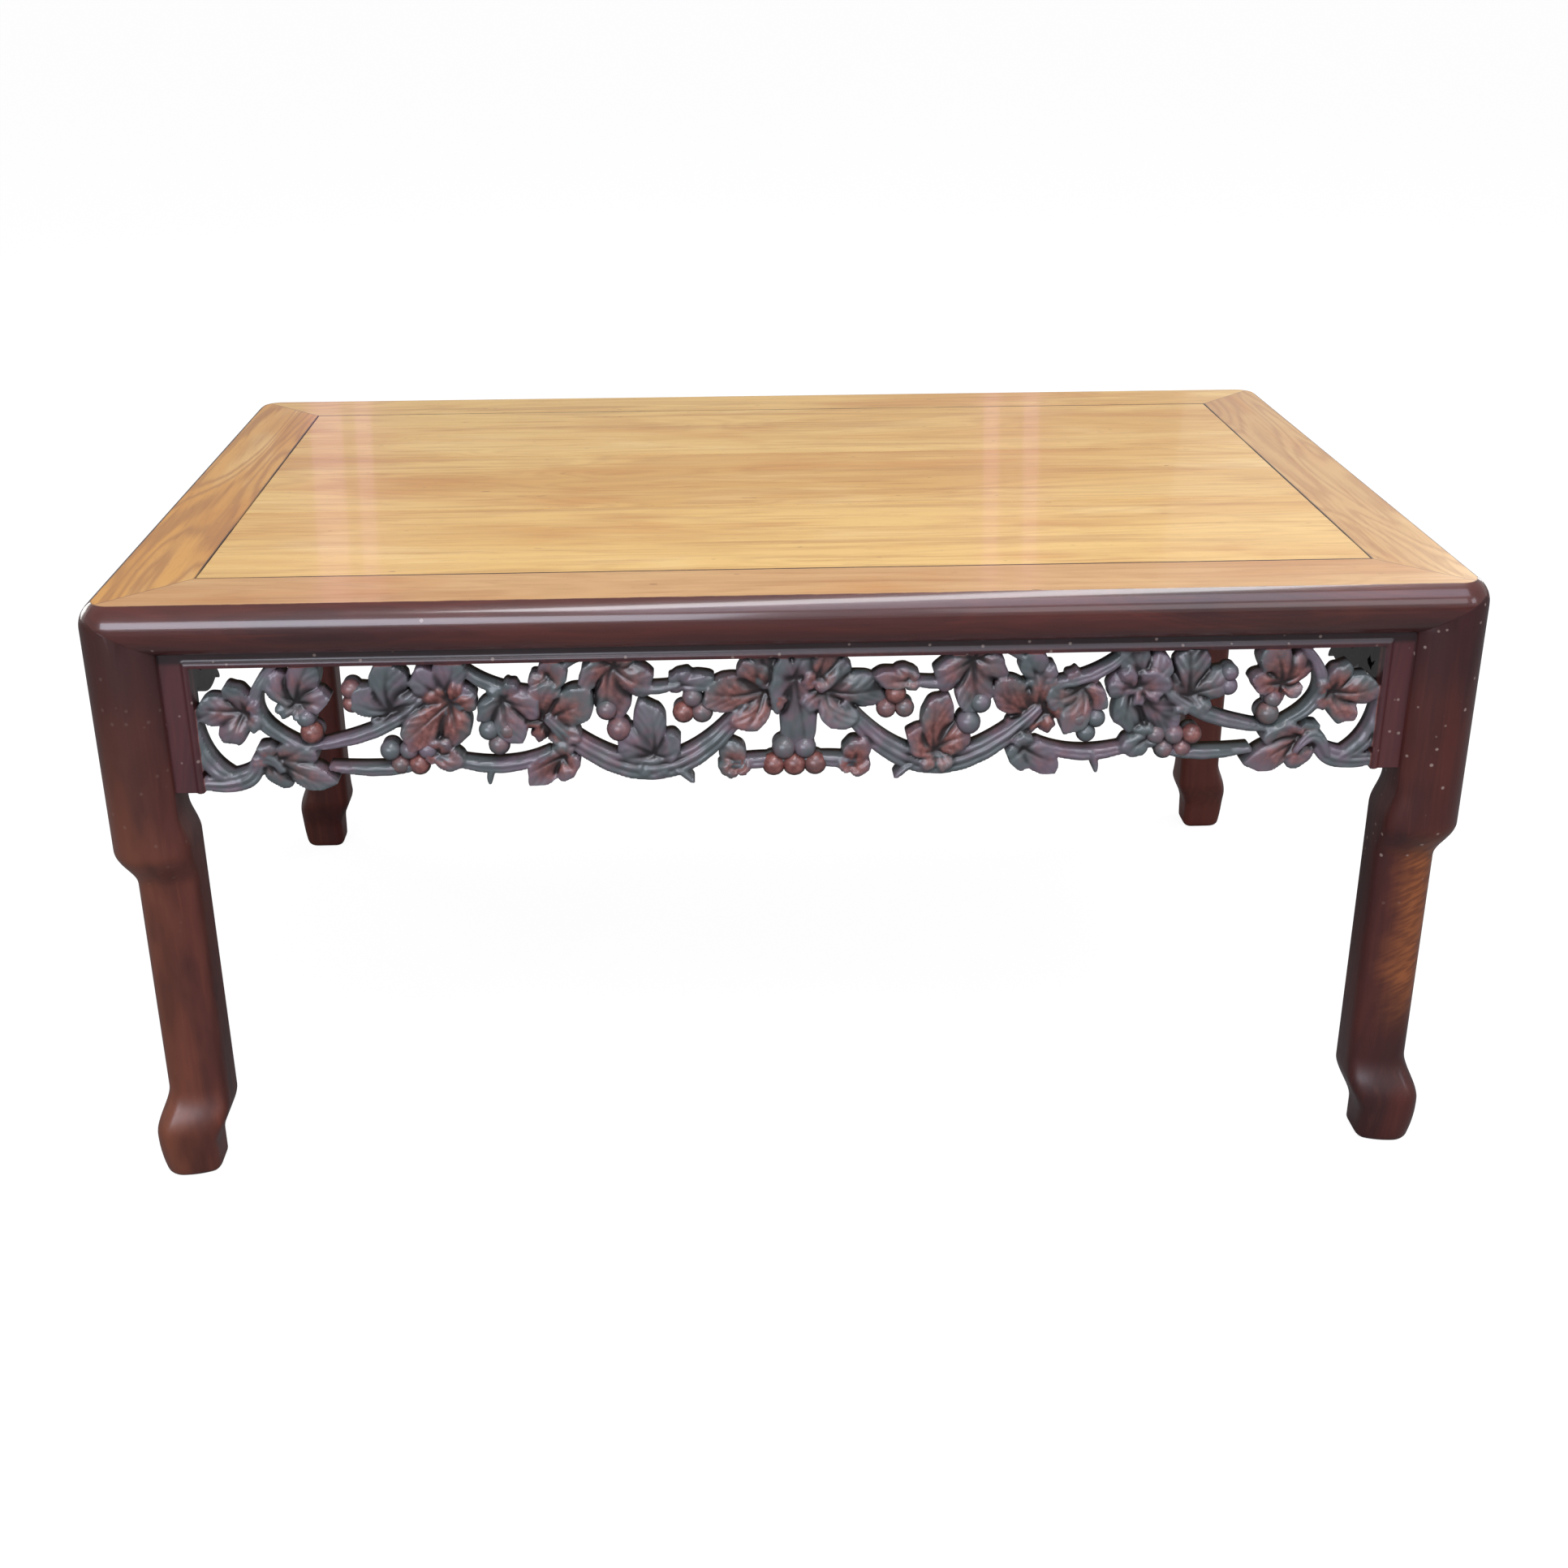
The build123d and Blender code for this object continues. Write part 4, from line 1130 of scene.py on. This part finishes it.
GOLD, ORANGE, BROWN = srgb(236, 194, 116), srgb(212, 140, 40), srgb(176, 126, 82)
PINK = srgb(198, 150, 108)
WOODS = {
    "rail_front": honey_wood("rail_front_wood", "x", (0.13, 0.02, 0.07), PINK, 0.6, 0.2, True),
    "rail_back": honey_wood("rail_back_wood", "x", (0.71, 0.22, 0.01), GOLD, 0.2, 0.2, True),
    "rail_left": honey_wood("rail_left_wood", "y", (0.37, 0.41, 0.05), ORANGE, 0.5, 0.65, True),
    "rail_right": honey_wood("rail_right_wood", "y", (0.55, 0.93, 0.03), BROWN, 0.45, 0.5, True),
    "panel_board_1": honey_wood("board_1_wood", "x", (0.0, 0.0, 0.0), GOLD, 0.4, 0.16),
    "panel_board_2": honey_wood("board_2_wood", "x", (0.31, 0.55, 0.13), GOLD, 0.1, 0.2),
    "panel_board_3": honey_wood("board_3_wood", "x", (0.83, 0.17, 0.29), GOLD, 0.25, 0.16),
}
UNDERSIDE = hidden_wood("underside_wood")
CARVING = carved_wood("carving_wood")

smoothing = smoothing_tree()
for node, thing in frame["nodes"].items():
    if node.startswith(("apron", "leg")):
        continue
    add_tree(thing, smoothing)
    thing.data.materials.clear()
    thing.data.materials.append(WOODS.get(node, UNDERSIDE))

# Each leg: which way it mirrors, how rubbed and lit it looks, how much painted shade darkens it, how warm
# its patch, how chipped
CORNERS = {
    "front_left": (1, 1, 0.36, 0.0, 0.0, 0.08),
    "front_right": (-1, 1, 0.06, 0.5, 0.75, 0.5),
    "back_left": (1, -1, 0.12, 0.3, 0.0, 0.12),
    "back_right": (-1, -1, 0.12, 0.3, 0.0, 0.12),
}
for index, (corner, (way_x, way_y, *look)) in enumerate(CORNERS.items()):
    shift = (0.31 * index, 0.17 * index, 0.23 * index)
    wood = dark_wood(f"leg_{corner}_wood", "z", shift, *look)
    leg = leg_mesh(f"leg_{corner}_shaped", way_x, way_y, wood)
    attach(leg, BODY)
    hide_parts(f"leg_{corner}")

long_apron = carved_apron(2 * HALF_L, "long_apron", LONG_SEED)
short_apron = carved_apron(2 * HALF_W, "short_apron", SHORT_SEED)
SIDES = {
    "front": (long_apron, 0, HALF_W),
    "back": (long_apron, pi, HALF_W),
    "left": (short_apron, -pi / 2, HALF_L),
    "right": (short_apron, pi / 2, HALF_L),
}
for side, (flat, turn, half_depth) in SIDES.items():
    apron = set_apron(f"apron_{side}_carved", flat, turn, half_depth, CARVING)
    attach(apron, BODY)
    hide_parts(f"apron_{side}")
bpy.data.objects.remove(long_apron)
bpy.data.objects.remove(short_apron)


# ---- floor, light and camera


FLOOR_REACH = 60.0  # metres, as are the places of the lights and the camera
FLOOR_GREY = (0.18, 0.18, 0.18, 1)
FLOOR_GLOW = 0.92  # what the camera sees of its own light; the table gets none of it
SKY_LIGHT = 0.36


def floor():
    """A wide white floor that keeps the table's shadow."""
    mesh = bpy.data.meshes.new("floor")
    ways = (-1, -1), (1, -1), (1, 1), (-1, 1)
    mesh.from_pydata([(x * FLOOR_REACH, y * FLOOR_REACH, 0) for x, y in ways], [], [(0, 1, 2, 3)])
    finish = Finish("floor_white")
    path = finish.put("ShaderNodeLightPath")
    seen = Shade(finish.tree, path.outputs["Is Camera Ray"])
    glow = finish.mix(seen, (0, 0, 0, 1), (1, 1, 1, 1))
    finish.set(Base_Color=FLOOR_GREY, Roughness=0.9, Specular_IOR_Level=0.0)
    mesh.materials.append(finish.set(Emission_Color=glow, Emission_Strength=FLOOR_GLOW))
    return linked("floor", mesh)


def area_light(name, place, aim, width, height, power, colour):
    """A rectangular light at a place, turned to shine at another, unseen by the camera."""
    data = bpy.data.lights.new(name, "AREA")
    data.shape = "RECTANGLE"
    data.size, data.size_y = width, height
    data.energy = power
    data.color = colour
    made = linked(name, data)
    made.location = place
    made.rotation_euler = (Vector(aim) - Vector(place)).to_track_quat("-Z", "Y").to_euler()
    made.visible_camera = False


def world():
    """Soft white surroundings."""
    made = bpy.data.worlds.new("surroundings")
    made.use_nodes = True
    tree = made.node_tree
    path = put(tree, "ShaderNodeLightPath")
    seen = Shade(tree, path.outputs["Is Camera Ray"])
    background = tree.nodes["Background"]
    fill(tree, background.inputs["Color"], (1.0, 1.0, 1.0, 1))
    fill(tree, background.inputs["Strength"], seen * (1 - SKY_LIGHT) + SKY_LIGHT)
    bpy.context.scene.world = made


def camera():
    """The view: from the front, a little to the left, looking down."""
    yaw, pitch, roll = 0.0434487, 0.4141286, -0.0039308
    place = Vector((-0.0617402, -1.5473809, 0.8584694))
    forward = Vector((sin(yaw) * cos(pitch), cos(yaw) * cos(pitch), -sin(pitch)))
    level = Vector((cos(yaw), -sin(yaw), 0))
    upright = level.cross(forward)
    right = cos(roll) * level + sin(roll) * upright
    up = cos(roll) * upright - sin(roll) * level
    data = bpy.data.cameras.new("camera")
    data.sensor_width = 36.0
    data.lens = 44.64
    made = linked("camera", data)
    turn = Matrix((right, up, -forward)).transposed().to_4x4()
    made.matrix_world = Matrix.Translation(place) @ turn
    bpy.context.scene.camera = made


floor()
world()
camera()
# Each light: place, aim, width and height, power, colour
LIGHTS = {
    "overhead": ((0.7, -0.55, 2.8), (0.35, -0.3, 0.45), 4.4, 0.5, 61, (0.97, 0.97, 1.0)),
    "ceiling_glow": ((0.8, -1.9, 2.5), (0.2, -0.3, 0.4), 2.6, 1.3, 22, (0.84, 0.82, 1.0)),
    "front_window": ((-1.4, -3.8, 1.6), (-0.1, -0.3, 0.3), 3.0, 1.6, 84, (0.84, 0.87, 1.0)),
    "front_right_window": ((1.6, -3.8, 1.9), (0.1, -0.3, 0.3), 2.0, 1.2, 14, (0.95, 0.92, 1.0)),
    "back_right_window": ((1.5, 2.5, 1.35), (0.3, 0, 0.45), 1.1, 1.5, 1.4, (0.94, 0.94, 1.0)),
    "back_left_fill": ((-3.2, 2.4, 0.9), (0, 0.2, 0.3), 1.4, 1.2, 20, (1.0, 0.98, 0.95)),
    "back_right_fill": ((2.6, 3.4, 0.9), (0, 0.2, 0.3), 1.2, 1.2, 20, (1.0, 0.98, 0.95)),
    "right_window": ((3.4, -2.6, 1.5), (0.3, -0.3, 0.2), 0.9, 1.1, 10, (0.86, 0.88, 1.0)),
}
for name, settings in LIGHTS.items():
    area_light(name, *settings)
# Tall narrow windows behind the table, which show as faint bars in the polish: place along x, width
BARS = {
    "left": (-0.775, 0.06),
    "left_2": (-0.704, 0.03),
    "right": (0.506, 0.03),
    "right_2": (0.584, 0.03),
}
BAR_POWER = 3.6  # watts for each metre of width
BAR_COLOUR = (0.95, 0.42, 0.9)
for name, (x, width) in BARS.items():
    place, aim = (x, 2.1, 1.25), (x, 0, 0.8)
    area_light(f"window_{name}", place, aim, width, 2.0, BAR_POWER * width, BAR_COLOUR)
bpy.context.scene.view_settings.view_transform = "Standard"
